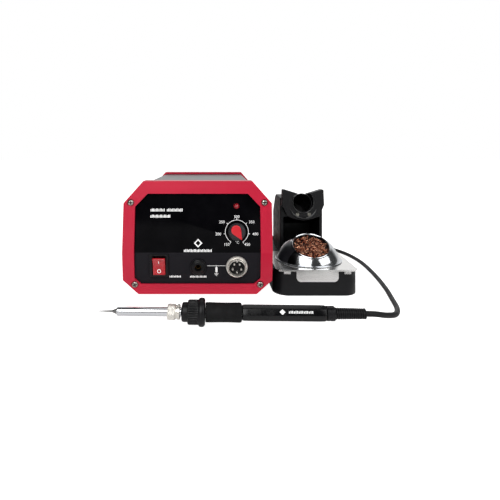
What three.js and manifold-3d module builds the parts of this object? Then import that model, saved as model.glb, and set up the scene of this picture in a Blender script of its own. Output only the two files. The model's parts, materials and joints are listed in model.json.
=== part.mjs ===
// Soldering iron station: a temperature-controlled power unit, an iron stand with a
// brass-wool tip cleaner, and a soldering iron lying in front of them on its lead.
// Millimetres, +Z up, front towards -Y. The origin is on the bench, under the middle
// of the whole set without its lead.
import * as THREE from 'three';
import { mergeVertices } from 'three/addons/utils/BufferGeometryUtils.js';
import Module from 'manifold-3d';

// ---------------------------------------------------------------- driving dimensions
const GAP = 0.3; // clearance between touching pieces
const FAR = 200; // reach of a cutting tool past what it cuts

// Layout of the set.
const SET_HALF_X = 108.9; // iron tip on the left, stand on the right
const SET_HALF_Y = 126.6; // iron flange in front, fuse cap behind

// Power unit.
const CASE_DEPTH = 180;
const CASE_HALF = 67;
const CASE_TOP = 102.8;
const BEZEL_BOTTOM = 1.2;
const TOP_CHAMFER = [17.5, 19.8]; // across, up
const BOTTOM_CHAMFER = [13.8, 13];
const SLEEVE_INSET = 2.6;
const SLEEVE_WALL = 1;
const SLEEVE_ENDS = [14, 174];
const BEZEL_DEPTH = 22;
const FACE_WALL = 2.2; // thickness of a bezel's face
const PANEL_WALL = 2;
const CREASE_Z = 39.1; // height of the forward edge of the V-shaped front
const FACE_TILT = THREE.MathUtils.degToRad(7.1); // tilt of each half of the front
const FUSE_CAP_OUT = 6; // fuse cap behind the rear bezel
const STATION_X = -37;
const STATION_Y = SET_HALF_Y - FUSE_CAP_OUT - CASE_DEPTH;

// Places on the front, across from the middle and up from the bench.
const LED_AT = [35.1, 80.2];
const KNOB_AT = [35.3, 57.4];
const SWITCH_AT = [-34.4, 27.6];
const JACK_AT = [0.6, 26.8];
const SOCKET_AT = [35.2, 27];
const CORNER_SCREWS = [[-60.4, 83.3], [60.4, 83.3], [-56.2, 10.4], [56.2, 10.4]];
const FOOT_AT = [[-44, 34], [44, 34], [-44, 151], [44, 151]];

// Controls and sockets.
const SCREW_HEAD_R = 2.8;
const SCREW_SHANK = 5.4;
const ROCKER_TILT = THREE.MathUtils.degToRad(12); // either way from level
const ROCKER_PIVOT = 0.6; // above the panel
const KNOB_R = 7.8;
const KNOB_TOP = 10.5;
const POINTER_TURN = THREE.MathUtils.degToRad(-59); // hot end of the scale, lower right
const SOCKET_BORE_R = 7.1;
const SOCKET_PIN_RING_R = 4;

// Stand.
const BASE_SIZE = [77, 125, 22]; // across, deep, high
const STAND_X = SET_HALF_X - BASE_SIZE[0] / 2;
const STAND_Y = -55.8; // its front beside the front of the power unit
const PLATE_T = 1.5;
const PLATE_SIZE = [74, 66];
const DOME_R = 31;
const DOME_T = 1.2;
const DOME_AT = [0, 35.4, 17.5]; // centre of its sphere
const DOME_MOUTH_R = 17.5;
const DOME_TILT = THREE.MathUtils.degToRad(27); // mouth leans towards the user
const TOWER_Y = [65.8, 119];
const TOWER_HALF = 22.4;
const TOWER_TOP = 81;
const REST_Y = [56.5, 65.5];
const REST_AXIS_Z = 77.4; // middle of the iron's opening at the front of the rest
const REST_BORE_R = 10.7;
const REST_TUBE_R = [9.5, 10.3];
const REST_SLOPE = THREE.MathUtils.degToRad(20);

// Iron: stations along its axis from the point of the tip, and radii.
const IRON_TIP_END = 15.5;
const IRON_NUT = [52.5, 61.8];
const IRON_COLLAR = [63.1, 67.6, 75.4, 80.4];
const IRON_GRIP_END = 107.5;
const IRON_HANDLE_END = 169.8;
const IRON_END = 199.3;
const IRON_FLANGE_R = 10.2;
const IRON_DROOP = THREE.MathUtils.degToRad(0.6); // tail a little lower than the tip

// Lead: its free route on the bench, then a wound coil and a round plug.
const LEAD_R = 2.1;
const COIL_AT = [80.5, 110.6];
const COIL_RADII = [18.7, 27.2];
const COIL_HEIGHT = 12.8;
const PLUG_R = 9.3;
const PLUG_AT = [64, 135.7, 9.6]; // boot end of the plug, which points to -X
const LEAD_Z = 2.2; // middle of the lead where it lies on the bench
const LEAD_ROUTE = [
  [98, -116.3, 8.7], [108.8, -111.5, 5.8], [118.9, -103.6, 3.4], [126.6, -89.1, LEAD_Z],
  [131.6, -69.1, LEAD_Z], [137.8, -40.9, LEAD_Z], [143.4, -3.6, LEAD_Z],
  [146.6, 35.3, LEAD_Z], [145.6, 61.2, LEAD_Z], [141.8, 82, LEAD_Z],
  [135.6, 98.4, LEAD_Z], [126.5, 113.4, LEAD_Z], [114.6, 125.6, LEAD_Z],
  [101, 133.2, LEAD_Z],
];

// ---------------------------------------------------------------- materials
function finish(color, roughness, metalness = 0) {
  return new THREE.MeshStandardMaterial({ color, roughness, metalness });
}
const RED = finish(0xc3233e, 0.35);
const ROCKER_RED = finish(0xd0252f, 0.3);
const POINTER_RED = finish(0xc8202c, 0.4);
const GLOSS_BLACK = finish(0x0b0b0d, 0.15);
const BLACK = finish(0x17171a, 0.5);
const DARK_GREY = finish(0x2b2b2f, 0.55);
const RUBBER = finish(0x141415, 0.85);
const SLEEVE_BLACK = finish(0x1d1c20, 0.45, 0.3);
const CHROME = finish(0xdadbdd, 0.12, 1);
const STEEL = finish(0xb9bbbd, 0.35, 1);
const BRASS = finish(0xc9a45c, 0.3, 1);
const COPPER = finish(0xa86f52, 0.4, 1);
const BOARD_GREEN = finish(0x1f5a34, 0.5);
const ALUMINIUM = finish(0xa8abad, 0.4, 1);
const LAMINATION = finish(0x4a4c50, 0.5, 0.8);
const WINDING_TAPE = finish(0xd0a83a, 0.5);
const LED_RED = finish(0xd81e2a, 0.2);

// ---------------------------------------------------------------- solids
const wasm = await Module();
wasm.setup();

function signedVolume(position, index) {
  const a = new THREE.Vector3();
  const b = new THREE.Vector3();
  const c = new THREE.Vector3();
  let sum = 0;
  for (let i = 0; i < index.length; i += 3) {
    a.fromBufferAttribute(position, index[i]);
    b.fromBufferAttribute(position, index[i + 1]);
    c.fromBufferAttribute(position, index[i + 2]);
    sum += a.dot(b.cross(c));
  }
  return sum;
}

// A closed geometry with shared vertices, no collapsed triangles and faces outward.
function closed(geometry) {
  const bare = geometry.clone();
  bare.deleteAttribute('normal');
  bare.deleteAttribute('uv');
  bare.clearGroups();
  const merged = mergeVertices(bare, 1e-4);
  const kept = [];
  const source = merged.index.array;
  for (let i = 0; i < source.length; i += 3) {
    const [a, b, c] = [source[i], source[i + 1], source[i + 2]];
    if (a !== b && b !== c && c !== a) kept.push(a, b, c);
  }
  if (signedVolume(merged.attributes.position, kept) < 0) kept.reverse();
  merged.setIndex(kept);
  merged.computeVertexNormals();
  return merged;
}

function toManifold(geometry) {
  const whole = closed(geometry);
  const vertProperties = new Float32Array(whole.attributes.position.array);
  const triVerts = new Uint32Array(whole.index.array);
  return new wasm.Manifold(new wasm.Mesh({ numProp: 3, vertProperties, triVerts }));
}

function fromManifold(manifold) {
  const mesh = manifold.getMesh();
  const geometry = new THREE.BufferGeometry();
  geometry.setAttribute('position', new THREE.BufferAttribute(mesh.vertProperties, 3));
  geometry.setIndex(new THREE.BufferAttribute(mesh.triVerts, 1));
  geometry.computeVertexNormals();
  return geometry;
}

function cut(body, ...tools) {
  let result = toManifold(body);
  for (const tool of tools) result = result.subtract(toManifold(tool));
  return fromManifold(result);
}

function join(body, ...others) {
  let result = toManifold(body);
  for (const other of others) result = result.add(toManifold(other));
  return fromManifold(result);
}

function common(body, other) {
  return fromManifold(toManifold(body).intersect(toManifold(other)));
}

// Box between two corners.
function block(low, high) {
  const size = high.map((value, i) => value - low[i]);
  const box = new THREE.BoxGeometry(...size);
  return box.translate(...low.map((value, i) => value + size[i] / 2));
}

// Body turned about Z from [radius, height] pairs.
function turned(profile, sides = 18) {
  const points = profile.map(([r, z]) => new THREE.Vector2(r, z));
  return closed(new THREE.LatheGeometry(points, sides).rotateX(Math.PI / 2));
}

function ringProfile(points) {
  return [...points, points[0]];
}

function disc(radius, low, high, sides = 18) {
  return turned([[0, low], [radius, low], [radius, high], [0, high]], sides);
}

function outlineShape(points) {
  return new THREE.Shape(points.map(([a, b]) => new THREE.Vector2(a, b)));
}

function asShape(outline) {
  return Array.isArray(outline) ? outlineShape(outline) : outline;
}

// Outlines drawn in XY, XZ or YZ, extruded along Z, Y or X.
function alongZ(outline, low, high) {
  const options = { depth: high - low, bevelEnabled: false, curveSegments: 8 };
  return new THREE.ExtrudeGeometry(asShape(outline), options).translate(0, 0, low);
}

function alongY(outline, low, high) {
  const options = { depth: high - low, bevelEnabled: false, curveSegments: 8 };
  const body = new THREE.ExtrudeGeometry(asShape(outline), options);
  return body.rotateX(Math.PI / 2).translate(0, high, 0);
}

function alongX(outline, low, high) {
  const options = { depth: high - low, bevelEnabled: false, curveSegments: 8 };
  const body = new THREE.ExtrudeGeometry(asShape(outline), options).translate(0, 0, low);
  const axes = new THREE.Matrix4().makeBasis(
    new THREE.Vector3(0, 1, 0), new THREE.Vector3(0, 0, 1), new THREE.Vector3(1, 0, 0));
  return body.applyMatrix4(axes);
}

// Rectangle with its own radius at each corner: low x, high x, low y, high y.
function roundedRectangle(x0, x1, y0, y1, frontR, backR = frontR) {
  const shape = new THREE.Shape();
  shape.moveTo(x0 + frontR, y0);
  shape.lineTo(x1 - frontR, y0);
  shape.absarc(x1 - frontR, y0 + frontR, frontR, -Math.PI / 2, 0, false);
  shape.lineTo(x1, y1 - backR);
  shape.absarc(x1 - backR, y1 - backR, backR, 0, Math.PI / 2, false);
  shape.lineTo(x0 + backR, y1);
  shape.absarc(x0 + backR, y1 - backR, backR, Math.PI / 2, Math.PI, false);
  shape.lineTo(x0, y0 + frontR);
  shape.absarc(x0 + frontR, y0 + frontR, frontR, Math.PI, Math.PI * 1.5, false);
  return shape;
}

// Convex counter-clockwise outline with every side moved inward.
function inset(points, distance) {
  const count = points.length;
  const lines = points.map((p, i) => {
    const q = points[(i + 1) % count];
    const length = Math.hypot(q[0] - p[0], q[1] - p[1]);
    const along = [(q[0] - p[0]) / length, (q[1] - p[1]) / length];
    const start = [p[0] - along[1] * distance, p[1] + along[0] * distance];
    return { start, along };
  });
  return lines.map((line, i) => {
    const before = lines[(i + count - 1) % count];
    const cross = before.along[0] * line.along[1] - before.along[1] * line.along[0];
    const dx = line.start[0] - before.start[0];
    const dy = line.start[1] - before.start[1];
    const t = (dx * line.along[1] - dy * line.along[0]) / cross;
    return [before.start[0] + before.along[0] * t, before.start[1] + before.along[1] * t];
  });
}

// ---------------------------------------------------------------- scene graph
const set = new THREE.Group();

function group(parent, position = [0, 0, 0], turn = [0, 0, 0]) {
  const node = new THREE.Group();
  node.position.set(...position);
  node.rotation.set(...turn);
  parent.add(node);
  return node;
}

function piece(parent, name, geometry, material) {
  const mesh = new THREE.Mesh(closed(geometry), material);
  mesh.name = name;
  parent.add(mesh);
  return mesh;
}

const station = group(set, [STATION_X, STATION_Y, 0]);
const stand = group(set, [STAND_X, STAND_Y, 0]);

// ---------------------------------------------------------------- power unit shells
// Eight-sided outline shared by the two bezels, the sleeve and the panels.
const caseOutline = [
  [-CASE_HALF + BOTTOM_CHAMFER[0], BEZEL_BOTTOM],
  [CASE_HALF - BOTTOM_CHAMFER[0], BEZEL_BOTTOM],
  [CASE_HALF, BEZEL_BOTTOM + BOTTOM_CHAMFER[1]],
  [CASE_HALF, CASE_TOP - TOP_CHAMFER[1]],
  [CASE_HALF - TOP_CHAMFER[0], CASE_TOP],
  [-CASE_HALF + TOP_CHAMFER[0], CASE_TOP],
  [-CASE_HALF, CASE_TOP - TOP_CHAMFER[1]],
  [-CASE_HALF, BEZEL_BOTTOM + BOTTOM_CHAMFER[1]],
];
const openingOutline = [
  [-50.6, 10.6], [50.6, 10.6], [56.5, 15.7], [56.5, 79.7],
  [45.4, 91.4], [-45.4, 91.4], [-56.5, 79.7], [-56.5, 15.7],
];

function faceY(z) {
  return Math.abs(z - CREASE_Z) * Math.tan(FACE_TILT);
}

// Everything in front of the V-shaped face moved back by a depth.
function frontOf(depth) {
  const low = -20;
  const high = 120;
  const outline = [
    [-FAR, low], [faceY(low) + depth, low], [depth, CREASE_Z],
    [faceY(high) + depth, high], [-FAR, high],
  ];
  return alongX(outline, -FAR, FAR);
}

// Frame on the front: X right, Y up along the face, Z out of it.
function faceTurn(z) {
  return Math.PI / 2 + (z > CREASE_Z ? -FACE_TILT : FACE_TILT);
}

function faceGroup([x, z], depth) {
  return group(station, [x, faceY(z) + depth, z], [faceTurn(z), 0, 0]);
}

function onFace([x, z], depth, geometry) {
  return geometry.rotateX(faceTurn(z)).translate(x, faceY(z) + depth, z);
}

const PANEL_DEPTH = FACE_WALL + GAP;
const BEZEL_WALL = SLEEVE_INSET - GAP;

function screwHoles(depth, headDepth) {
  return CORNER_SCREWS.flatMap((at) => [
    onFace(at, depth, disc(1.8, -30, 5, 12)),
    onFace(at, depth, disc(SCREW_HEAD_R + 0.5, -headDepth, 5, 20)),
  ]);
}

function frontBezel() {
  const body = cut(alongY(caseOutline, -1, BEZEL_DEPTH), frontOf(0));
  const pocket = cut(alongY(inset(caseOutline, BEZEL_WALL), -FAR, FAR), frontOf(FACE_WALL));
  return cut(body, alongY(openingOutline, -FAR, FAR), pocket, ...screwHoles(0, 0.9));
}

function frontPanel() {
  const slab = alongY(inset(caseOutline, SLEEVE_INSET), -1, BEZEL_DEPTH);
  const layer = common(slab, frontOf(PANEL_DEPTH + PANEL_WALL));
  return cut(
    layer,
    frontOf(PANEL_DEPTH),
    onFace(LED_AT, PANEL_DEPTH, disc(2.8, -9, 9, 16)),
    onFace(KNOB_AT, PANEL_DEPTH, disc(4.8, -9, 9, 16)),
    onFace(SWITCH_AT, PANEL_DEPTH, block([-7, -9.6, -9], [7, 9.6, 9])),
    onFace(JACK_AT, PANEL_DEPTH, disc(5.9, -9, 9, 20)),
    onFace(SOCKET_AT, PANEL_DEPTH, disc(8, -9, 9, 20)),
    ...CORNER_SCREWS.map((at) => onFace(at, PANEL_DEPTH, disc(1.9, -9, 9, 12))),
  );
}

function caseSleeve() {
  const outer = inset(caseOutline, SLEEVE_INSET);
  const inner = inset(caseOutline, SLEEVE_INSET + SLEEVE_WALL);
  return cut(alongY(outer, ...SLEEVE_ENDS), alongY(inner, -FAR, FAR));
}

const REAR_FACE = CASE_DEPTH - FACE_WALL; // inner side of the rear bezel's face
const REAR_PANEL = [REAR_FACE - GAP - PANEL_WALL, REAR_FACE - GAP];
const INLET_AT = [24, 30];
const FUSE_AT = [-24, 30];

// Pieces of the back: local Z points out of the back, X to the left seen from behind.
function backGroup([x, z], y) {
  return group(station, [x, y, z], [-Math.PI / 2, 0, 0]);
}

function onBack([x, z], y, geometry) {
  return geometry.rotateX(-Math.PI / 2).translate(x, y, z);
}

function rearBezel() {
  const body = alongY(caseOutline, CASE_DEPTH - BEZEL_DEPTH + 7, CASE_DEPTH);
  const pocket = alongY(inset(caseOutline, BEZEL_WALL), -FAR, REAR_FACE);
  const holes = CORNER_SCREWS.flatMap((at) => [
    onBack(at, CASE_DEPTH, disc(1.8, -30, 5, 12)),
    onBack(at, CASE_DEPTH, disc(SCREW_HEAD_R + 0.5, -0.9, 5, 20)),
  ]);
  return cut(body, alongY(openingOutline, -FAR, FAR), pocket, ...holes);
}

function rearPanel() {
  return cut(
    alongY(inset(caseOutline, SLEEVE_INSET), ...REAR_PANEL),
    onBack(INLET_AT, CASE_DEPTH, block([-14, -10.3, -20], [14, 10.3, 20])),
    onBack(FUSE_AT, CASE_DEPTH, disc(6.5, -20, 20, 20)),
    ...CORNER_SCREWS.map((at) => onBack(at, CASE_DEPTH, disc(1.9, -20, 20, 12))),
  );
}

piece(station, 'front_bezel', frontBezel(), RED);
piece(station, 'rear_bezel', rearBezel(), RED);
piece(station, 'case_sleeve', caseSleeve(), SLEEVE_BLACK);
piece(station, 'front_panel', frontPanel(), GLOSS_BLACK);
piece(station, 'rear_panel', rearPanel(), SLEEVE_BLACK);

// Pan-head screw, head above its seat at the origin, shank down.
function screw(shank) {
  return turned([
    [0, -shank], [1.1, -shank], [1.5, 0.6 - shank], [1.5, GAP - 0.9], [SCREW_HEAD_R, GAP - 0.9],
    [SCREW_HEAD_R, 0.3], [2, 1], [0, 1.2],
  ], 10);
}

CORNER_SCREWS.forEach((at, i) => {
  piece(faceGroup(at, 0), `front_screw_${i + 1}`, screw(SCREW_SHANK), CHROME);
  piece(backGroup(at, CASE_DEPTH), `rear_screw_${i + 1}`, screw(SCREW_SHANK), STEEL);
});

const FOOT_HEIGHT = BEZEL_BOTTOM + SLEEVE_INSET - GAP;
FOOT_AT.forEach(([x, y], i) => {
  const foot = turned([[0, 0], [6.4, 0], [7, 0.8], [7, FOOT_HEIGHT], [0, FOOT_HEIGHT]], 14);
  piece(group(station, [x, y, 0]), `station_foot_${i + 1}`, foot, RUBBER);
});

// ---------------------------------------------------------------- front controls
function switchBody() {
  const body = join(
    block([-8.3, -10.4, GAP], [8.3, 10.4, 1.9]),
    block([-6.7, -9.3, -15], [6.7, 9.3, 1]),
  );
  return cut(body, block([-5.9, -8.8, -6.5], [5.9, 8.8, 5]));
}

// Rocker in its own frame: X along the pivot, Z out when level.
function rocker() {
  const profile = [
    [-8.2, 3], [-8.2, 1], [-4.5, -4.2], [4.5, -4.2], [8.2, 1], [8.2, 3], [0, 1.4],
  ];
  return alongX(profile, -5.5, 5.5);
}

const switchFrame = faceGroup(SWITCH_AT, PANEL_DEPTH);
piece(switchFrame, 'power_switch_body', switchBody(), BLACK);
const rockerFrame = group(switchFrame, [0, 0, ROCKER_PIVOT], [ROCKER_TILT, 0, 0]);
piece(rockerFrame, 'power_rocker', rocker(), ROCKER_RED);

const jackFrame = faceGroup(JACK_AT, PANEL_DEPTH);
piece(jackFrame, 'ground_jack_body', turned(ringProfile([
  [3, -14], [5.5, -14], [5.5, GAP], [7.4, GAP], [7.4, 1.8], [6.6, 2.8], [3.5, 2.8], [3, 2.3],
])), BLACK);
piece(jackFrame, 'ground_jack_contact', turned(ringProfile([
  [2.05, -13], [2.7, -13], [2.7, 0.5], [2.05, 0.5],
]), 16), BRASS);

const socketFrame = faceGroup(SOCKET_AT, PANEL_DEPTH);
piece(socketFrame, 'iron_socket_shell', turned(ringProfile([
  [SOCKET_BORE_R, -12], [7.6, -12], [7.6, GAP], [9.7, GAP], [9.7, 1.9], [9.3, 2.3],
  [8.2, 2.3], [8.2, 5.6], [7.7, 6.1], [SOCKET_BORE_R, 5.6],
])), CHROME);
piece(socketFrame, 'iron_socket_insert', disc(SOCKET_BORE_R - GAP, -11, 1.6, 20), BLACK);
for (let i = 0; i < 5; i += 1) {
  const angle = -Math.PI / 2 + (i * 2 * Math.PI) / 5;
  const at = [SOCKET_PIN_RING_R * Math.cos(angle), SOCKET_PIN_RING_R * Math.sin(angle), 0];
  const pin = turned([[0, 1.9], [0.8, 1.9], [0.8, 4.4], [0, 4.9]], 10);
  piece(group(socketFrame, at), `socket_pin_${i + 1}`, pin, CHROME);
}

piece(faceGroup(LED_AT, PANEL_DEPTH), 'indicator_led', turned([
  [0, -6], [2.9, -6], [2.9, -2.4], [2.45, -2.4], [2.45, 0.5], [1.9, 1.9], [1, 2.6], [0, 2.8],
], 16), LED_RED);

const knobFrame = faceGroup(KNOB_AT, PANEL_DEPTH);
piece(knobFrame, 'potentiometer_body', turned([
  [0, -17.4], [8, -17.4], [8, -9.5], [4.4, -9.5], [4.4, 3], [3.3, 3], [3.3, -9.2], [0, -9.2],
]), ALUMINIUM);
piece(knobFrame, 'potentiometer_shaft', disc(3, -8.9, 9.2, 16), ALUMINIUM);
piece(knobFrame, 'temperature_knob', turned([
  [0, 9.5], [3.3, 9.5], [3.3, 3.6], [4.9, 3.6], [4.9, 1], [KNOB_R, 1], [KNOB_R, 3],
  [6.9, 3.8], [6.5, KNOB_TOP - 0.5], [6, KNOB_TOP], [0, KNOB_TOP],
]), DARK_GREY);

// Drop-shaped pointer, its point along +X before it is turned.
function pointerCap() {
  const radius = 4.3;
  const centre = -2.4;
  const tip = 7.4;
  const spread = Math.acos(radius / (tip - centre));
  const shape = new THREE.Shape();
  shape.moveTo(tip, 0);
  shape.absarc(centre, 0, radius, spread, 2 * Math.PI - spread, false);
  return alongZ(shape, KNOB_TOP + GAP, KNOB_TOP + 2.6).rotateZ(POINTER_TURN);
}
piece(knobFrame, 'knob_pointer', pointerCap(), POINTER_RED);

// ---------------------------------------------------------------- inside the power unit
const boardFrame = faceGroup([0, 67], PANEL_DEPTH);
piece(boardFrame, 'control_board', block([-50, -20, -19.4], [50, 22, -17.8]), BOARD_GREEN);
piece(boardFrame, 'heat_sink', cut(
  block([-42, -12, -34], [-18, 18, -19.7]),
  block([-39.5, -30, -40], [-20.5, 30, -22.2]),
), ALUMINIUM);

const CORE = { halfX: 27, y: [100, 122], z: [BEZEL_BOTTOM + 4, BEZEL_BOTTOM + 49], leg: 9 };
function transformerCore() {
  const windowZ = [CORE.z[0] + CORE.leg, CORE.z[1] - CORE.leg];
  const side = [CORE.leg, CORE.halfX - CORE.leg];
  return cut(
    block([-CORE.halfX, CORE.y[0], CORE.z[0]], [CORE.halfX, CORE.y[1], CORE.z[1]]),
    block([side[0], 0, windowZ[0]], [side[1], FAR, windowZ[1]]),
    block([-side[1], 0, windowZ[0]], [-side[0], FAR, windowZ[1]]),
  );
}

function transformerWinding() {
  const outer = CORE.halfX - CORE.leg - GAP;
  const inner = CORE.leg + GAP;
  const low = CORE.z[0] + CORE.leg + GAP;
  const high = CORE.z[1] - CORE.leg - GAP;
  const grow = outer - inner;
  return cut(
    block([-outer, CORE.y[0] - grow, low], [outer, CORE.y[1] + grow, high]),
    block([-inner, CORE.y[0] - GAP, 0], [inner, CORE.y[1] + GAP, FAR]),
  );
}
piece(station, 'transformer_core', transformerCore(), LAMINATION);
piece(station, 'transformer_winding', transformerWinding(), WINDING_TAPE);

// ---------------------------------------------------------------- back
const BACK = REAR_PANEL[1]; // outer side of the rear panel
const inletFrame = backGroup(INLET_AT, BACK);
piece(inletFrame, 'mains_inlet', cut(
  join(
    block([-15.5, -12, GAP], [15.5, 12, 2.4]),
    block([-13.7, -10, -18], [13.7, 10, 1]),
  ),
  block([-12, -8.2, -15], [12, 8.2, 5]),
), BLACK);
const fuseFrame = backGroup(FUSE_AT, BACK);
piece(fuseFrame, 'fuse_holder', turned([
  [0, -30], [6.2, -30], [6.2, GAP], [9, GAP], [9, 2], [8.2, 2.6], [3.4, 2.6], [3.4, -26],
  [0, -26],
], 20), BLACK);
piece(fuseFrame, 'fuse_cap', turned([
  [0, -25], [3.1, -25], [3.1, 2.9], [6.8, 2.9], [6.8, 7.2],
  [5.8, CASE_DEPTH + FUSE_CAP_OUT - BACK], [0, CASE_DEPTH + FUSE_CAP_OUT - BACK],
], 20), BLACK);

// ---------------------------------------------------------------- stand
const BASE_HALF = BASE_SIZE[0] / 2;
const BASE_TOP = BASE_SIZE[2];
piece(stand, 'stand_base', cut(
  alongZ(roundedRectangle(-BASE_HALF, BASE_HALF, 0, BASE_SIZE[1], 14, 9), 0, BASE_TOP),
  alongZ(roundedRectangle(-32, 32, 7, 60, 9), 4, FAR),
  alongZ(roundedRectangle(-34, 34, 68, 120, 6), -5, BASE_TOP - 4),
), BLACK);

// Iron's axis through the rest: into the stand and down.
function alongRest(geometry) {
  return geometry.rotateX(-Math.PI / 2 - REST_SLOPE).translate(0, REST_Y[0], REST_AXIS_Z);
}

function tower() {
  const side = [
    [TOWER_Y[0], BASE_TOP + GAP], [TOWER_Y[1], BASE_TOP + GAP], [TOWER_Y[1], 60],
    [105, TOWER_TOP - 4], [99, TOWER_TOP], [TOWER_Y[0], TOWER_TOP],
  ];
  const cavity = [[0, 0], [110, 0], [110, 46], [98, 60], [0, 60]];
  const wall = 3.4;
  return cut(
    alongX(side, -TOWER_HALF, TOWER_HALF),
    alongX(cavity, wall - TOWER_HALF, TOWER_HALF - wall),
    alongRest(disc(REST_BORE_R, -20, 48.4, 24)),
  );
}

function restHead() {
  const shape = new THREE.Shape();
  shape.moveTo(0, 84);
  shape.lineTo(-19, 89.9);
  shape.lineTo(-21.3, 89.9);
  shape.lineTo(-22, 74);
  shape.lineTo(-17, 62.6);
  shape.quadraticCurveTo(-8, 58, 0, 58);
  shape.quadraticCurveTo(8, 58, 17, 62.6);
  shape.lineTo(22, 74);
  shape.lineTo(21.3, 89.9);
  shape.lineTo(19, 89.9);
  return cut(alongY(shape, ...REST_Y), alongRest(disc(REST_BORE_R, -20, 30, 28)));
}

function restTube() {
  const [inner, outer] = REST_TUBE_R;
  return alongRest(turned(ringProfile([[inner, 5], [outer, 5], [outer, 48], [inner, 48]])));
}
piece(stand, 'stand_tower', tower(), BLACK);
piece(stand, 'iron_rest', restHead(), BLACK);
piece(stand, 'rest_tube', restTube(), STEEL);

const PLATE_Z = [BASE_TOP + GAP, BASE_TOP + GAP + PLATE_T];
const PLATE_FRONT = -1.5;
function cleanerPlate() {
  const half = PLATE_SIZE[0] / 2;
  const sheet = roundedRectangle(-half, half, PLATE_FRONT, PLATE_FRONT + PLATE_SIZE[1], 6, 3);
  const middle = (PLATE_Z[0] + PLATE_Z[1]) / 2;
  const tongue = roundedRectangle(-18.8, 18.8, 13, middle, 4, 0.3);
  const front = [PLATE_FRONT + 0.1, -GAP];
  return join(
    alongZ(sheet, ...PLATE_Z),
    alongY(tongue, ...front),
    block([-30, front[0], BASE_TOP - 2], [-24, front[1], middle]),
    block([24, front[0], BASE_TOP - 2], [30, front[1], middle]),
  );
}
piece(stand, 'cleaner_plate', cleanerPlate(), STEEL);

// Spherical shell about the mouth's own axis, from the mouth down past the plate.
function arc(radius, from, to, steps) {
  return Array.from({ length: steps + 1 }, (_, i) => {
    const angle = from + ((to - from) * i) / steps;
    return [radius * Math.sin(angle), radius * Math.cos(angle)];
  });
}

function aboutMouth(geometry) {
  return geometry.rotateX(DOME_TILT).translate(...DOME_AT);
}

function abovePlate(geometry, clearance) {
  const floor = block([-FAR, -FAR, -FAR], [FAR, FAR, PLATE_Z[1] + clearance]);
  return cut(geometry, floor);
}

function cleanerDome() {
  const mouth = Math.asin(DOME_MOUTH_R / DOME_R);
  const low = THREE.MathUtils.degToRad(125);
  const outside = arc(DOME_R, mouth, low, 10);
  const inside = arc(DOME_R - DOME_T, low, mouth, 10);
  const body = turned(ringProfile([...outside, ...inside]), 32);
  return abovePlate(aboutMouth(body), GAP);
}

function brassWool() {
  const radius = DOME_R - DOME_T - 0.5;
  const rim = Math.asin((DOME_MOUTH_R - 2) / radius);
  const crown = [[0, radius * Math.cos(rim) + 1.6], [8, radius * Math.cos(rim) + 1.2]];
  const low = THREE.MathUtils.degToRad(125);
  const skin = arc(radius, rim, low, 8);
  return abovePlate(aboutMouth(turned([...crown, ...skin, [0, skin.at(-1)[1]]], 24)), 0.6);
}
piece(stand, 'cleaner_dome', cleanerDome(), CHROME);
piece(stand, 'brass_wool', brassWool(), COPPER);

// ---------------------------------------------------------------- soldering iron
// Its frame has +Z along the iron from the point of the tip to the lead.
const flangeMiddle = (IRON_COLLAR[2] + IRON_COLLAR[3]) / 2;
const flangeHalf = (IRON_COLLAR[3] - IRON_COLLAR[2]) / 2;
const ironHeight = IRON_FLANGE_R * Math.cos(IRON_DROOP) + flangeHalf * Math.sin(IRON_DROOP);
const ironTail = group(set, [
  -SET_HALF_X, IRON_FLANGE_R - SET_HALF_Y, ironHeight + flangeMiddle * Math.sin(IRON_DROOP),
], [0, IRON_DROOP, 0]);
const iron = group(ironTail, [0, 0, 0], [0, Math.PI / 2, 0]);

piece(iron, 'iron_tip', turned([
  [0, 0], [0.3, 0.3], [0.8, 11.5], [1.2, 12.3], [2.3, 14.6], [2.3, 40], [0, 40],
], 16), STEEL);
piece(iron, 'heating_element', disc(1.9, 40 + GAP, IRON_NUT[1], 12), finish(0xe8e4da, 0.6));
piece(iron, 'tip_sleeve', turned(ringProfile([
  [2.6, IRON_TIP_END], [3.1, IRON_TIP_END - 0.4], [3.3, IRON_TIP_END + 0.4],
  [3.3, IRON_COLLAR[0] - GAP], [2.6, IRON_COLLAR[0] - GAP],
]), 18), CHROME);
piece(iron, 'sleeve_nut', turned(ringProfile([
  [3.6, IRON_NUT[0]], [5.2, IRON_NUT[0]], [5.7, IRON_NUT[0] + 0.5], [5.7, 58.4], [4.9, 58.9],
  [4.9, 59.6], [5.4, 60], [5.4, IRON_NUT[1]], [3.6, IRON_NUT[1]],
]), 18), CHROME);
piece(iron, 'front_collar', turned([
  [0, IRON_COLLAR[0]], [6.5, IRON_COLLAR[0]], [6.95, 63.6], [6.95, IRON_COLLAR[1]],
  [8.4, IRON_COLLAR[1]], [8.8, 68], [8.8, IRON_COLLAR[2]], [9.6, IRON_COLLAR[2]],
  [IRON_FLANGE_R, IRON_COLLAR[2] + 0.5], [IRON_FLANGE_R, IRON_COLLAR[3]],
  [0, IRON_COLLAR[3]],
], 24), BLACK);
piece(iron, 'rubber_grip', turned([
  [0, IRON_COLLAR[3] + GAP], [7, IRON_COLLAR[3] + GAP], [7, IRON_GRIP_END - 0.8],
  [6.2, IRON_GRIP_END], [0, IRON_GRIP_END],
], 18), RUBBER);
piece(iron, 'iron_handle', turned([
  [0, IRON_GRIP_END + GAP], [5.9, IRON_GRIP_END + GAP], [6.1, 110],
  [6.1, IRON_HANDLE_END - 1.5], [5.4, IRON_HANDLE_END], [0, IRON_HANDLE_END],
], 8), BLACK);
piece(iron, 'strain_relief', turned([
  [0, IRON_HANDLE_END + GAP], [5.4, IRON_HANDLE_END + GAP], [5.4, 176.2], [4.3, 176.6],
  [3.8, IRON_END - 1.6], [4, IRON_END], [0, IRON_END],
], 16), RUBBER);

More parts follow.
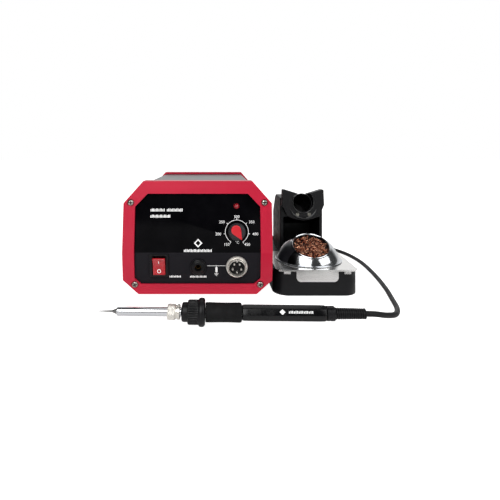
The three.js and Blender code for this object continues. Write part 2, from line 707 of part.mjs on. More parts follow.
// ---------------------------------------------------------------- lead
function circleSection(radius, sides) {
  const points = Array.from({ length: sides }, (_, i) => {
    const angle = (i * 2 * Math.PI) / sides;
    return [radius * Math.cos(angle), radius * Math.sin(angle)];
  });
  return outlineShape(points);
}

function leadTube() {
  set.updateMatrixWorld(true);
  const from = new THREE.Vector3(0, 0, IRON_END + GAP).applyMatrix4(iron.matrixWorld);
  const points = [from, ...LEAD_ROUTE.map((point) => new THREE.Vector3(...point))];
  const extrudePath = new THREE.CatmullRomCurve3(points, false, 'centripetal');
  const options = { extrudePath, steps: 44, bevelEnabled: false };
  return new THREE.ExtrudeGeometry(circleSection(LEAD_R, 8), options);
}
piece(set, 'iron_lead', leadTube(), RUBBER);
piece(group(set, [...COIL_AT, 0]), 'lead_coil', turned(ringProfile([
  [COIL_RADII[0], 0], [COIL_RADII[1], 0], [COIL_RADII[1], COIL_HEIGHT],
  [COIL_RADII[0], COIL_HEIGHT],
]), 32), RUBBER);

const plug = group(set, PLUG_AT, [0, -Math.PI / 2, 0]);
piece(plug, 'lead_plug', turned([
  [0, 0], [3.4, 0], [4.4, 12], [7.6, 13], [7.9, 14], [7.9, 30], [7, 30.6], [7, 44],
  [6.2, 44], [6.2, 38], [0, 38],
], 18), CHROME);
piece(plug, 'plug_ring', turned(ringProfile([
  [8.2, 31], [9, 31], [PLUG_R, 31.6], [PLUG_R, 45.4], [8.9, 46], [8.2, 46],
]), 18), CHROME);

export default set;
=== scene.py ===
"""Looks of the soldering iron station. Lengths are in metres unless a name says mm."""
import json
import math
import random
import bpy
import bmesh
from mathutils import Matrix, Vector


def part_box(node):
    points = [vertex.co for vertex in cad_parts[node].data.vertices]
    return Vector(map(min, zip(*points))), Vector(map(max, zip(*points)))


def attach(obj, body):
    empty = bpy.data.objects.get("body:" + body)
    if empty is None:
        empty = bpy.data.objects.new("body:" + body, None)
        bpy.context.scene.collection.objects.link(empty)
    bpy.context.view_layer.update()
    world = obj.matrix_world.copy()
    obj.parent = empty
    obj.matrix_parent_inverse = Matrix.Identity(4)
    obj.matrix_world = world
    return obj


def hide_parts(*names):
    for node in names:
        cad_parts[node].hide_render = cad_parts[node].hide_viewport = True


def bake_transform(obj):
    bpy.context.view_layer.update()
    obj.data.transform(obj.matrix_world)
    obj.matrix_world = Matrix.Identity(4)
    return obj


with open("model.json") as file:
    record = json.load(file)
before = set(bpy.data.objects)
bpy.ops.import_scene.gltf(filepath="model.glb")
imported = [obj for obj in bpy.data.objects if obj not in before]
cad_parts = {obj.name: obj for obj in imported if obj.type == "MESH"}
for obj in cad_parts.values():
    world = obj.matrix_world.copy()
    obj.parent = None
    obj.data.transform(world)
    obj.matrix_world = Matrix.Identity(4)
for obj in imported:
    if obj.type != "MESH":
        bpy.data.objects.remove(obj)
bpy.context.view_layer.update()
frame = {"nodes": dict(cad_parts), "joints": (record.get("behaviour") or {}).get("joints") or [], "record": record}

MM = 0.001
NODES = frame["nodes"]
JOINTS = {joint["name"]: joint for joint in frame["joints"]}
SLOTS = {entry["node"]: entry["material_slot"] for entry in frame["record"]["subparts"]}
BODIES = {
    node: body
    for body, members in frame["record"]["behaviour"]["bodies"].items() for node in members
}
WHITE = (1, 1, 1, 1)
X_AXIS = Vector((1, 0, 0))
Y_AXIS = Vector((0, 1, 0))


def mm(x, y, z):
    """Place or step given in millimetres."""
    return Vector((x, y, z)) * MM


def round_mm(radius, angle, z=0):
    """Place on a circle about Z, given in millimetres."""
    return mm(radius * math.cos(angle), radius * math.sin(angle), z)


# ---- camera
# Level camera on a shifted lens, a little left of the middle of the set.
CAMERA_AT = (-0.02045, -0.4074, 0.1287)
CAMERA_LENS_MM = 28.22
CAMERA_SENSOR_MM = 36
CAMERA_SHIFT = (0.068, -0.195)


def linked(name, data):
    """New object of some data, in the scene."""
    made = bpy.data.objects.new(name, data)
    bpy.context.scene.collection.objects.link(made)
    return made


def make_camera():
    data = bpy.data.cameras.new("camera")
    data.lens = CAMERA_LENS_MM
    data.sensor_width = CAMERA_SENSOR_MM
    data.shift_x, data.shift_y = CAMERA_SHIFT
    data.clip_start = 0.01
    data.clip_end = 20
    camera = linked("camera", data)
    camera.location = CAMERA_AT
    camera.rotation_euler = (math.pi / 2, 0, 0)
    bpy.context.scene.camera = camera


# ---- node materials
COAT_ROUGHNESS = 0.08
SMOOTHEST = 0.02  # the least roughness that noise may give


def linear(colour):
    """Linear colour from an sRGB hex number."""
    parts = [((colour >> shift) & 255) / 255 for shift in (16, 8, 0)]
    out = [v / 12.92 if v <= 0.04045 else ((v + 0.055) / 1.055) ** 2.4 for v in parts]
    return (*out, 1.0)


def set_inputs(node, values):
    for name, value in values.items():
        node.inputs[name].default_value = value
    return node


class Surface:
    """A Principled material whose colour, roughness and relief come from noise in space."""

    def __init__(self, name, colour, roughness, metallic=0.0, coat=0.0, specular=0.5):
        self.material = bpy.data.materials.new(name)
        self.material.use_nodes = True
        self.material.diffuse_color = linear(colour)
        self.tree = self.material.node_tree
        self.shader = self.tree.nodes["Principled BSDF"]
        self.colour = linear(colour)
        self.roughness = roughness
        self.place = self.tree.nodes.new("ShaderNodeTexCoord")
        self.last_bump = None
        set_inputs(self.shader, {
            "Base Color": self.colour, "Roughness": roughness, "Metallic": metallic,
            "Coat Weight": coat, "Coat Roughness": COAT_ROUGHNESS,
            "Specular IOR Level": specular})

    def add(self, kind, values):
        return set_inputs(self.tree.nodes.new(kind), values)

    def link(self, source, target):
        self.tree.links.new(source, target)

    def noise(self, scale, detail=3.0, stretch=(1, 1, 1)):
        mapping = self.add("ShaderNodeMapping", {"Scale": stretch})
        noise = self.add("ShaderNodeTexNoise", {"Scale": scale, "Detail": detail})
        self.link(self.place.outputs["Object"], mapping.inputs["Vector"])
        self.link(mapping.outputs["Vector"], noise.inputs["Vector"])
        return noise.outputs["Fac"]

    def height(self):
        """Height above the bench of the point being shaded."""
        split = self.add("ShaderNodeSeparateXYZ", {})
        self.link(self.place.outputs["Object"], split.inputs["Vector"])
        return split.outputs["Z"]

    def spread(self, source, low, high, from_low=0.3, from_high=0.7):
        ranged = self.add("ShaderNodeMapRange", {
            "From Min": from_low, "From Max": from_high, "To Min": low, "To Max": high})
        self.link(source, ranged.inputs["Value"])
        return ranged.outputs["Result"]

    def mix(self, factor, first, second):
        mixer = self.tree.nodes.new("ShaderNodeMix")
        mixer.data_type = "RGBA"
        set_inputs(mixer, {"A": first, "B": second})
        self.link(factor, mixer.inputs["Factor"])
        return mixer.outputs["Result"]

    def glow(self, colour, strength):
        set_inputs(self.shader, {"Emission Color": colour, "Emission Strength": strength})

    def vary_colour(self, scale, darker, lighter, **noise):
        """Colour drifts between two multiples of the base colour."""
        first = tuple(c * darker for c in self.colour[:3]) + (1,)
        second = tuple(min(1, c * lighter) for c in self.colour[:3]) + (1,)
        mixed = self.mix(self.spread(self.noise(scale, **noise), 0, 1), first, second)
        self.link(mixed, self.shader.inputs["Base Color"])
        return self

    def vary_roughness(self, scale, change, **noise):
        low, high = self.roughness - change, self.roughness + change
        result = self.spread(self.noise(scale, **noise), max(SMOOTHEST, low), min(1, high))
        self.link(result, self.shader.inputs["Roughness"])
        return self

    def relief(self, scale, depth_mm, strength, **noise):
        bump = self.add("ShaderNodeBump", {"Distance": depth_mm * MM, "Strength": strength})
        self.link(self.noise(scale, **noise), bump.inputs["Height"])
        if self.last_bump:
            self.link(self.last_bump.outputs["Normal"], bump.inputs["Normal"])
        self.link(bump.outputs["Normal"], self.shader.inputs["Normal"])
        self.last_bump = bump
        return self


def moulded(name, colour, roughness, grain=2600, coat=0.0, specular=0.5):
    """Moulded plastic with a spark-eroded grain and faint handling marks."""
    made = Surface(name, colour, roughness, coat=coat, specular=specular)
    made.vary_colour(60, 0.82, 1.2).vary_roughness(180, 0.09, detail=5)
    return made.relief(grain, 0.05, 0.35).relief(90, 0.08, 0.12)


def painted(name, colour, roughness):
    """Sprayed paint with a fine orange peel under a thin clear coat."""
    made = Surface(name, colour, roughness, coat=0.12, specular=0.4)
    made.vary_colour(25, 0.95, 1.05).vary_roughness(140, 0.025, detail=5)
    return made.relief(900, 0.03, 0.22).relief(3500, 0.012, 0.15)


def plated(name, colour, roughness, metallic=1.0):
    """Polished plating with the faintest smudges."""
    made = Surface(name, colour, roughness, metallic=metallic)
    made.vary_colour(35, 0.95, 1.02).vary_roughness(120, roughness * 0.45, detail=6)
    return made.relief(60, 0.02, 0.04)


def brushed(name, colour, roughness, stretch, grain=0.3):
    """Sheet metal with a directional grain."""
    made = Surface(name, colour, roughness, metallic=1.0)
    made.vary_colour(8, 1 - 0.4 * grain, 1.05, stretch=stretch)
    made.vary_roughness(10, 0.3 * grain, stretch=stretch, detail=5)
    return made.relief(14, 0.01, grain, stretch=stretch)


def rubbery(name, colour, roughness=0.72):
    """Matt rubber with a soft, even grain."""
    made = Surface(name, colour, roughness, specular=0.25)
    made.vary_colour(70, 0.8, 1.25).vary_roughness(200, 0.1)
    return made.relief(3800, 0.04, 0.4)


def panel_surface(crease_height):
    """Overlay that is glossy black above the crease and satin dark grey below it."""
    made = Surface("panel_overlay", 0x050506, 0.14, specular=0.05)
    half_blend = 0.2 * MM
    lower = made.spread(
        made.height(), 1, 0, crease_height - half_blend, crease_height + half_blend)
    grain = made.spread(made.noise(70), 0, 0.12)
    shade = made.add("ShaderNodeMath", {})
    shade.operation = "ADD"
    shade.use_clamp = True
    made.link(lower, shade.inputs[0])
    made.link(grain, shade.inputs[1])
    colour = made.mix(shade.outputs[0], linear(0x050507), linear(0x242327))
    made.link(colour, made.shader.inputs["Base Color"])
    made.link(made.spread(lower, 0.12, 0.42, 0, 1), made.shader.inputs["Roughness"])
    return made.relief(2600, 0.02, 0.15)


def lit_plastic(name, colour, glow):
    """Clear coloured plastic that lets some light through, with a faint emission: a painted glow on the rocker,
    the lamp's own light in the LED.
    """
    made = Surface(name, colour, 0.16, coat=0.6)
    set_inputs(made.shader, {
        "Subsurface Weight": 0.25, "Subsurface Radius": (0.004, 0.0008, 0.0008)})
    made.glow(linear(colour), glow)
    made.vary_colour(300, 0.85, 1.1).vary_roughness(400, 0.05)
    return made.relief(500, 0.02, 0.1)


def wool_metal():
    """Curled shavings between copper brown and pale brass."""
    made = Surface("wool_shavings", 0x8C4A38, 0.12, metallic=1.0)
    tint = made.spread(made.noise(420, detail=2), 0, 1, 0.35, 0.65)
    colour = made.mix(tint, linear(0x7A2C20), linear(0xFFC4A0))
    made.link(colour, made.shader.inputs["Base Color"])
    return made.vary_roughness(600, 0.08)


CREASE_Z = 0.0391  # where the front folds back, above the bench
LOOK = {
    "red_paint": painted("red_paint", 0xCC1238, 0.36),
    "sleeve_paint": painted("sleeve_paint", 0x1B1A20, 0.33),
    "panel_gloss": panel_surface(CREASE_Z),
    "black_plastic": moulded("black_plastic", 0x0C0C0F, 0.4, specular=0.3),
    "knob_plastic": moulded("knob_plastic", 0x26262A, 0.45),
    "pointer_red": moulded("pointer_red", 0xD41F2C, 0.32, coat=0.3),
    # the rocker is no lamp: its glow is a painted glow
    "rocker_red": lit_plastic("rocker_red", 0xC21C28, 0.04),
    "led_red": lit_plastic("led_red", 0x9C1422, 0.05),
    "rubber_black": rubbery("rubber_black", 0x0B0B0C),
    "lead_rubber": rubbery("lead_rubber", 0x151517, 0.5),
    "chrome_plate": plated("chrome_plate", 0xE4E5E8, 0.09),
    "steel": brushed("brushed_steel", 0xC9CACB, 0.3, (4, 120, 120)),
    "brass": plated("turned_brass", 0xC9A45C, 0.25),
    "wool": wool_metal(),
    "aluminium": brushed("satin_aluminium", 0xA8ABAD, 0.38, (60, 60, 6)),
    "board": moulded("solder_mask", 0x1F5A34, 0.35),
    "lamination": brushed("core_laminations", 0x5A5C60, 0.5, (6, 500, 6)),
    "winding": moulded("winding_tape", 0xD0A83A, 0.4),
    "heater_ceramic": moulded("heater_ceramic", 0xE8E4DA, 0.6),
}
PRINT_WHITE_PAINTED_GLOW = moulded("print_white_painted_glow", 0xF4F4F2, 0.5)
# the print is no lamp: this emission is a painted glow that brightens the marks
PRINT_WHITE_PAINTED_GLOW.glow(WHITE, 0.3)
# painted shade: the dark colour stands for the shade deep in the heap of shavings
WOOL_SHADE_CORE = moulded("wool_painted_shade_core", 0x200C08, 0.7)
LIP_BLACK = moulded("lip_black", 0x0C0C0E, 0.17, specular=0.7)
GLOSS_BLACK = moulded("gloss_black", 0x08080A, 0.24, specular=0.35)
GUNMETAL = plated("gunmetal", 0x8A8880, 0.3)
NICKEL = plated("brushed_nickel", 0xC6C2B8, 0.22)
TIP_PLATING = plated("tip_plating", 0x8E8E8C, 0.34)
SCREW_ZINC = plated("screw_zinc", 0xB8B4AC, 0.26)
# painted shade for the bottom of the screws' cross recesses
RECESS_SHADE = moulded("recess_painted_shade", 0x2A1A1C, 0.6)
SATIN_CHROME = plated("satin_chrome", 0xF2EEE6, 0.33, metallic=0.75)
RIB_RUBBER = rubbery("rib_rubber", 0x161618, 0.34)
# brass darkened as painted shade, for the contact deep in the ground jack
BRASS_PAINTED_SHADE = plated("brass_painted_shade", 0x4A3A20, 0.5)
DOME_CHROME = plated("dome_chrome", 0xDADCDF, 0.13)
BLACK_OXIDE = plated("black_oxide", 0x2A2A2C, 0.38)
PLATE_STEEL = brushed("plate_steel", 0xF2F1EF, 0.2, (6, 160, 160), grain=0.12)


def paint_cad_nodes():
    for node, slot in SLOTS.items():
        NODES[node].data.materials.clear()
        NODES[node].data.materials.append(LOOK[slot].material)
    # the contact sits inside the jack's hole: its dark brass is painted shade
    NODES["ground_jack_contact"].data.materials[0] = BRASS_PAINTED_SHADE.material


# ---- mesh making
WELD = 1e-7  # corners closer than this are one
CAD_WELD = 1e-6
FLAT_ANGLE = math.radians(0.6)  # facets that meet flatter than this are one face


def add_piece(name, mesh, body, slot, look=None, nodes=(), bevel=0.0, sharp=32, segments=3):
    """Links a mesh as a piece that rides on a body and may stand for CAD nodes."""
    mesh.materials.clear()
    mesh.materials.append((look or LOOK[slot]).material)
    mesh.shade_smooth()
    mesh.set_sharp_from_angle(angle=math.radians(sharp))
    made = linked(name, mesh)
    if bevel:
        rounded = made.modifiers.new("edges", "BEVEL")
        rounded.width = bevel
        rounded.segments = segments
        rounded.limit_method = "ANGLE"
        rounded.angle_limit = math.radians(sharp)
        rounded.harden_normals = True
        rounded.miter_outer = "MITER_ARC"
    if body:
        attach(made, body)
    if nodes:
        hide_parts(*nodes)
    return made


def mesh_from(name, vertices, faces):
    mesh = bpy.data.meshes.new(name)
    mesh.from_pydata([tuple(v) for v in vertices], [], faces)
    mesh.validate()
    work = bmesh.new()
    work.from_mesh(mesh)
    bmesh.ops.remove_doubles(work, verts=work.verts, dist=WELD)
    bmesh.ops.recalc_face_normals(work, faces=work.faces)
    work.to_mesh(mesh)
    work.free()
    return mesh


def stand_in(name, mesh, node, look=None, bevel=0.0, sharp=32, segments=3):
    """Piece shown in place of a CAD node, on its body and with its slot."""
    return add_piece(
        name, mesh, BODIES[node], SLOTS[node], look, [node], bevel, sharp, segments)


def refined(node, bevel, look=None):
    """The CAD node's own form with its flat facets merged and its edges rounded."""
    work = bmesh.new()
    work.from_mesh(NODES[node].data)
    bmesh.ops.remove_doubles(work, verts=work.verts, dist=CAD_WELD)
    bmesh.ops.dissolve_limit(
        work, angle_limit=FLAT_ANGLE, verts=work.verts, edges=work.edges)
    bmesh.ops.recalc_face_normals(work, faces=work.faces)
    mesh = bpy.data.meshes.new(f"{node}_form")
    work.to_mesh(mesh)
    work.free()
    stand_in(f"{node}_form", mesh, node, look, bevel)


def turned(name, profile_mm, place, sides=64, ripple=None):
    """Mesh turned about Z from (radius, height) pairs; a profile off the axis is a closed ring.
    ripple(angle, radius, height) adds to the radius, in millimetres."""
    ring = profile_mm[0][0] > 0
    vertices = []
    faces = []
    count = len(profile_mm)
    for step in range(sides):
        angle = math.tau * step / sides
        for radius, height in profile_mm:
            grown = radius + (ripple(angle, radius, height) if ripple and radius else 0)
            vertices.append(place @ round_mm(grown, angle, height))
    spans = count if ring else count - 1
    for step in range(sides):
        here = step * count
        there = ((step + 1) % sides) * count
        for i in range(spans):
            j = (i + 1) % count
            corners = [here + i, there + i, there + j, here + j]
            if profile_mm[i][0] == 0:
                corners = [here + i, there + j, here + j]
            elif profile_mm[j][0] == 0:
                corners = [here + i, there + i, here + j]
            faces.append(corners)
    return mesh_from(name, vertices, faces)


def tube_faces(first, rings, count):
    """Faces of a tube with closed ends, over rings of count vertices each."""
    last = first + (rings - 1) * count
    faces = [[first + i for i in range(count)][::-1], [last + i for i in range(count)]]
    for row in range(first, last, count):
        for i in range(count):
            a, b = row + i, row + (i + 1) % count
            faces.append([a, b, b + count, a + count])
    return faces


def turned_in(name, node, profile_mm, place, look=None, sides=64, ripple=None, bevel=0.0,
              sharp=32):
    """Turned piece shown in place of a CAD node."""
    mesh = turned(name, profile_mm, place, sides, ripple)
    return stand_in(name, mesh, node, look, bevel, sharp)


def swept(name, path, radius_at, sides=14):
    """Round tube along a list of points, with frames that don't twist."""
    vertices = []
    normal = None
    for i, point in enumerate(path):
        ahead = path[min(i + 1, len(path) - 1)] - path[max(i - 1, 0)]
        ahead.normalize()
        if normal is None:
            normal = ahead.orthogonal().normalized()
        normal = (normal - ahead * normal.dot(ahead)).normalized()
        side = ahead.cross(normal)
        for s in range(sides):
            angle = math.tau * s / sides
            out = normal * math.cos(angle) + side * math.sin(angle)
            vertices.append(point + out * radius_at(i))
    return mesh_from(name, vertices, tube_faces(0, len(path), sides))


def prism(vertices, faces, place, outline_mm, low_mm, high_mm):
    """Adds an extruded outline to lists of vertices and faces."""
    faces += tube_faces(len(vertices), 2, len(outline_mm))
    for height in (low_mm, high_mm):
        vertices += [place @ mm(x, y, height) for x, y in outline_mm]


def slab(name, place, outline_mm, low_mm, high_mm):
    """Mesh of one extruded outline."""
    vertices = []
    faces = []
    prism(vertices, faces, place, outline_mm, low_mm, high_mm)
    return mesh_from(name, vertices, faces)


def carve(mesh, cutter):
    """mesh with another mesh cut away from it."""
    body = linked("carved", mesh)
    tool = linked("cutter", cutter)
    modifier = body.modifiers.new("cut", "BOOLEAN")
    modifier.operation = "DIFFERENCE"
    modifier.solver = "EXACT"
    modifier.object = tool
    graph = bpy.context.evaluated_depsgraph_get()
    result = bpy.data.meshes.new_from_object(body.evaluated_get(graph))
    for item in (body, tool):
        bpy.data.objects.remove(item)
    return result


# ---- places
def frame_at(origin, z_axis, x_axis=X_AXIS):
    """Frame with a given Z, its X as near x_axis as it can be."""
    z_axis = z_axis.normalized()
    y_axis = z_axis.cross(x_axis).normalized()
    turn = Matrix((y_axis.cross(z_axis), y_axis, z_axis)).transposed().to_4x4()
    return Matrix.Translation(origin) @ turn


ROCKER_RISE = 0.6 * MM  # rocker's pivot above the panel
upper_point = Vector(JOINTS["temperature_turn"]["pos_m"])
upper_normal = Vector(JOINTS["temperature_turn"]["axis"]).normalized()
lower_normal = Vector((0, upper_normal.y, -upper_normal.z))
lower_point = Vector(JOINTS["power_rocker_turn"]["pos_m"]) - lower_normal * ROCKER_RISE
station_x = sum(corner.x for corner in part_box("front_bezel")) / 2


def middle(node):
    low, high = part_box(node)
    return (low + high) / 2


def face_at(height):
    """A point and the outward normal of the front's upper or lower face."""
    if height > CREASE_Z:
        return upper_point, upper_normal
    return lower_point, lower_normal


def on_panel(height_mm):
    """Frame on the middle of the front panel: X right, Y up along it, Z out."""
    point, normal = face_at(height_mm * MM)
    at = Vector((station_x, 0, height_mm * MM))
    at.y = point.y - (at.z - point.z) * normal.z / normal.y
    return frame_at(at, normal)


def seat(node):
    """Frame on the panel under a node's own middle."""
    centre = middle(node)
    point, normal = face_at(centre.z)
    return frame_at(centre - normal * (centre - point).dot(normal), normal)


def iron_frame():
    """Z along the iron from the point of its tip to the lead."""
    joint = JOINTS["nut_turn"]
    towards_tip = Vector(joint["axis"]).normalized()
    at = Vector(joint["pos_m"])
    reach = (at.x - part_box("iron_tip")[0].x) / -towards_tip.x
    return frame_at(at + towards_tip * reach, -towards_tip, Vector((0, 0, -1)))


# ---- lead
LEAD_R_MM = 2.1
LEAD_Z_MM = 2.2  # its middle, where it lies on the bench
LEAD_ROUTE_MM = [
    (98, -116.3, 8.7), (108.8, -111.5, 5.8), (118.9, -103.6, 3.4), (126.6, -89.1, LEAD_Z_MM),
    (131.6, -69.1, LEAD_Z_MM), (137.8, -40.9, LEAD_Z_MM), (143.4, -3.6, LEAD_Z_MM),
    (146.6, 35.3, LEAD_Z_MM), (145.6, 61.2, LEAD_Z_MM), (141.8, 82, LEAD_Z_MM),
    (135.6, 98.4, LEAD_Z_MM), (126.5, 113.4, LEAD_Z_MM), (114.6, 125.6, LEAD_Z_MM),
    (101, 133.2, LEAD_Z_MM),
]
LEAD_STEP_MM = 3.2
TAIL_STEP_MM = 3
# (radius, height) of each turn of the coil
COIL_TURNS_MM = [(25, 2.2), (20.8, 2.2), (20.8, 6.45), (25, 6.45), (20.8, 10.6), (25, 10.6)]
COIL_STEPS = 40  # points in a turn
COIL_CLIMB = 0.28  # the part of a turn in which it passes over to the next
IRON_END_MM = 199.3
LEAD_IN_IRON_MM = 1
PLUG_BOOT_MM = (64, 135.7, 9.6)
LEAD_IN_PLUG_MM = 4


def smooth_path(points, step):
    """Catmull-Rom curve through the points, cut into short even steps."""
    padded = [2 * points[0] - points[1], *points, 2 * points[-1] - points[-2]]
    out = [points[0].copy()]
    for a, b, c, d in zip(padded, padded[1:], padded[2:], padded[3:]):
        count = max(2, round((c - b).length / step))
        for i in range(1, count + 1):
            t = i / count
            out.append(0.5 * (
                2 * b + (c - a) * t + (2 * a - 5 * b + 4 * c - d) * t * t
                + (3 * b - a - 3 * c + d) * t ** 3))
    return out


def coil_points():
    centre = middle("lead_coil")
    centre.z = 0
    last = len(COIL_TURNS_MM) - 1
    points = []
    for i in range(len(COIL_TURNS_MM) * COIL_STEPS + 1):
        turn, part = divmod(i, COIL_STEPS)
        first = COIL_TURNS_MM[min(turn, last)]
        second = COIL_TURNS_MM[min(turn + 1, last)]
        blend = max(0.0, (part / COIL_STEPS - 1 + COIL_CLIMB) / COIL_CLIMB)
        blend = blend * blend * (3 - 2 * blend)
        radius, height = (a + (b - a) * blend for a, b in zip(first, second))
        angle = math.pi / 2 + math.tau * i / COIL_STEPS
        points.append(centre + round_mm(radius, angle, height))
    return points


def lead_path(iron):
    """From inside the strain relief, over the bench and round the coil, into the plug."""
    start = iron @ Vector((0, 0, (IRON_END_MM - LEAD_IN_IRON_MM) * MM))
    route = [mm(*point) for point in LEAD_ROUTE_MM]
    coil = coil_points()
    plug = mm(*PLUG_BOOT_MM)
    end = plug - X_AXIS * LEAD_IN_PLUG_MM * MM
    lead_in = smooth_path([start, *route, coil[0]], LEAD_STEP_MM * MM)
    tail = smooth_path([coil[-1], (coil[-1] + plug) / 2, end], TAIL_STEP_MM * MM)
    return lead_in[:-1] + coil + tail[1:]


def make_lead(iron):
    path = lead_path(iron)
    mesh = swept("lead", path, lambda i: LEAD_R_MM * MM)
    lead = add_piece("lead", mesh, None, "lead_rubber", nodes=["iron_lead", "lead_coil"])
    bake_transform(lead)
    length = sum((b - a).length for a, b in zip(path, path[1:]))
    return lead, path, length


# ---- plug on the lead
def knurled(crossings, lean, depth_mm, beyond_mm, low_mm, high_mm):
    """Ripple of crossed ridges on what is beyond a radius and between two heights."""
    def ripple(angle, radius, height):
        if radius < beyond_mm or not low_mm < height < high_mm:
            return 0
        along = height * lean
        return depth_mm * math.sin(angle * crossings + along) * math.sin(angle * crossings - along)
    return ripple


def make_plug():
    place = frame_at(mm(*PLUG_BOOT_MM), -X_AXIS, Y_AXIS)
    boot_mesh = turned("plug_boot", [
        (0, 0), (3.3, 0), (3.4, 1.5), (2.9, 1.8), (2.9, 2.6), (3.6, 2.9), (3.8, 4.5), (3.1, 4.8),
        (3.1, 5.6), (3.9, 5.9), (4.1, 7.6), (3.3, 7.9), (3.3, 8.7), (4.2, 9), (4.4, 12.2),
        (0, 12.2),
    ], place, 40)
    boot = add_piece("plug_boot", boot_mesh, "station", "lead_rubber", bevel=0.0001)
    shell = turned_in("plug_shell", "lead_plug", [
        (0, 12.3), (5.4, 12.3), (7.4, 13), (7.9, 14), (7.9, 29.6), (7.5, 30.2), (7, 30.4),
        (7, 44), (6.2, 44), (6.2, 38), (0, 38),
    ], place, NICKEL, bevel=0.0002)
    rows = [(9.2, 31.8 + 0.45 * i) for i in range(30)]
    coupling = turned_in("plug_coupling", "plug_ring", [
        (8.2, 31), (8.9, 31), *rows, (8.9, 45.9), (8.2, 45.9),
    ], place, NICKEL, 144, knurled(36, 2.2, 0.16, 9, 32, 45))
    return [boot, shell, coupling]


# ---- soldering iron
def make_iron(iron):
    def piece(name, node, profile, look=None, sides=64, ripple=None, bevel=0.00012):
        turned_in(name, node, profile, iron, look, sides, ripple, bevel, 30)

    piece("tip_bit", "iron_tip", [
        (0, 0), (0.16, 0.15), (0.28, 1.2), (0.62, 8), (0.8, 11.2), (1.05, 12.2), (2.2, 14.8),
        (2.3, 16), (2.3, 40), (0, 40),
    ], TIP_PLATING, 48)
    piece("tip_barrel", "tip_sleeve", [
        (2.6, 15.5), (2.75, 15.0), (3.1, 15.2), (3.3, 16.1), (3.3, 62.6), (2.6, 62.6),
    ])
    rows = [(5.62, 53.1 + 0.33 * i) for i in range(16)]
    piece("tip_nut", "sleeve_nut", [
        (3.6, 52.6), (5.2, 52.6), *rows, (5.1, 58.5), (4.7, 58.9), (4.7, 59.7), (5.3, 60),
        (5.4, 60.3), (5.4, 61.5), (5.1, 61.8), (3.6, 61.8),
    ], SATIN_CHROME, 132, knurled(22, 2.6, 0.17, 5.5, 53.2, 58), 0.00005)

    def ribs(angle, radius, height):
        if 8.2 < radius < 9 and 68.2 < height < 75.2:
            return -0.6 * (0.5 - 0.5 * math.cos(angle * 30)) ** 2
        return 0

    piece("grip_collar", "front_collar", [
        (0, 63.1), (5.6, 63.1), (6.4, 63.4), (6.8, 64), (6.95, 65), (6.95, 67.3), (7.1, 67.6),
        (8.1, 67.6), (8.6, 68), (8.8, 68.8), (8.8, 70), (8.8, 72), (8.8, 74), (8.8, 75.2),
        (8.9, 75.6), (9.5, 75.8), (10.05, 76.6), (10.2, 77.9), (10.05, 79.2), (9.5, 80),
        (8.7, 80.4), (0, 80.4),
    ], sides=240, ripple=ribs)
    piece("foam_grip", "rubber_grip", [
        (0, 80.7), (6.5, 80.7), (7.0, 81.1), (7.05, 84), (6.9, 90), (6.85, 97), (6.95, 103),
        (7.0, 106.4), (6.6, 107.2), (6.1, 107.5), (0, 107.5),
    ])
    make_handle(iron)
    make_strain_relief(iron)
    print_on_handle(iron)


HANDLE_FLAT_MM = 5.7  # half the distance across flats
HANDLE_SIDES = 8
HANDLE_EDGE_MM = 1.5  # radius of its long edges
HANDLE_EDGE_POINTS = 5


def make_handle(iron):
    """Eight-sided handle with rounded edges."""
    stations = [
        (107.8, 5.0), (108.2, 5.5), (109.4, 5.65), (112, HANDLE_FLAT_MM),
        (165, HANDLE_FLAT_MM), (168.4, 5.6), (169.4, 5.3), (169.8, 4.8),
    ]
    side = math.tau / HANDLE_SIDES
    vertices = []
    for z, flat in stations:
        hub = (flat - HANDLE_EDGE_MM) / math.cos(side / 2)
        for k in range(HANDLE_SIDES):
            corner = k * side
            for step in range(HANDLE_EDGE_POINTS):
                turn = corner + (step / (HANDLE_EDGE_POINTS - 1) - 0.5) * side
                vertices.append(iron @ (
                    round_mm(hub, corner, z) + round_mm(HANDLE_EDGE_MM, turn)))
    faces = tube_faces(0, len(stations), HANDLE_SIDES * HANDLE_EDGE_POINTS)
    stand_in("handle", mesh_from("handle", vertices, faces), "iron_handle", GLOSS_BLACK, sharp=24)


def make_strain_relief(iron):
    """Rubber sleeve with rings that shrink towards the lead."""
    profile = [(0, 170.1), (4.9, 170.1), (5.35, 170.5), (5.35, 172.6), (5.15, 172.8),
               (5.15, 173.2), (5.4, 173.4), (5.4, 175.9), (5.0, 176.4), (4.0, 176.6)]
    rings = 13
    widest, shrink, groove = 4.25, 0.4, 0.95
    first, last = 177.2, IRON_END_MM - 1.0
    pitch = (last - first) / rings
    for i in range(rings):
        z = first + i * pitch
        radius = widest - shrink * i / rings
        profile += [
            (radius - groove, z), (radius - 0.1, z + 0.2), (radius, z + pitch * 0.3),
            (radius - 0.1, z + pitch * 0.52), (radius - groove, z + pitch * 0.68)]
    profile += [(3.1, last), (3.9, last + 0.2), (3.9, IRON_END_MM - 0.2), (3.5, IRON_END_MM),
                (0, IRON_END_MM)]
    turned_in("strain_sleeve", "strain_relief", profile, iron, RIB_RUBBER, 48, bevel=0.00008,
              sharp=35)


# ---- printed marks
MARK_THICK_MM = 0.05
BLOCK_PITCH_MM = 1.25
BLOCK_FILL = 0.62  # the inked part of a block's pitch
LOW_BLOCK = 0.8  # every third block is lower


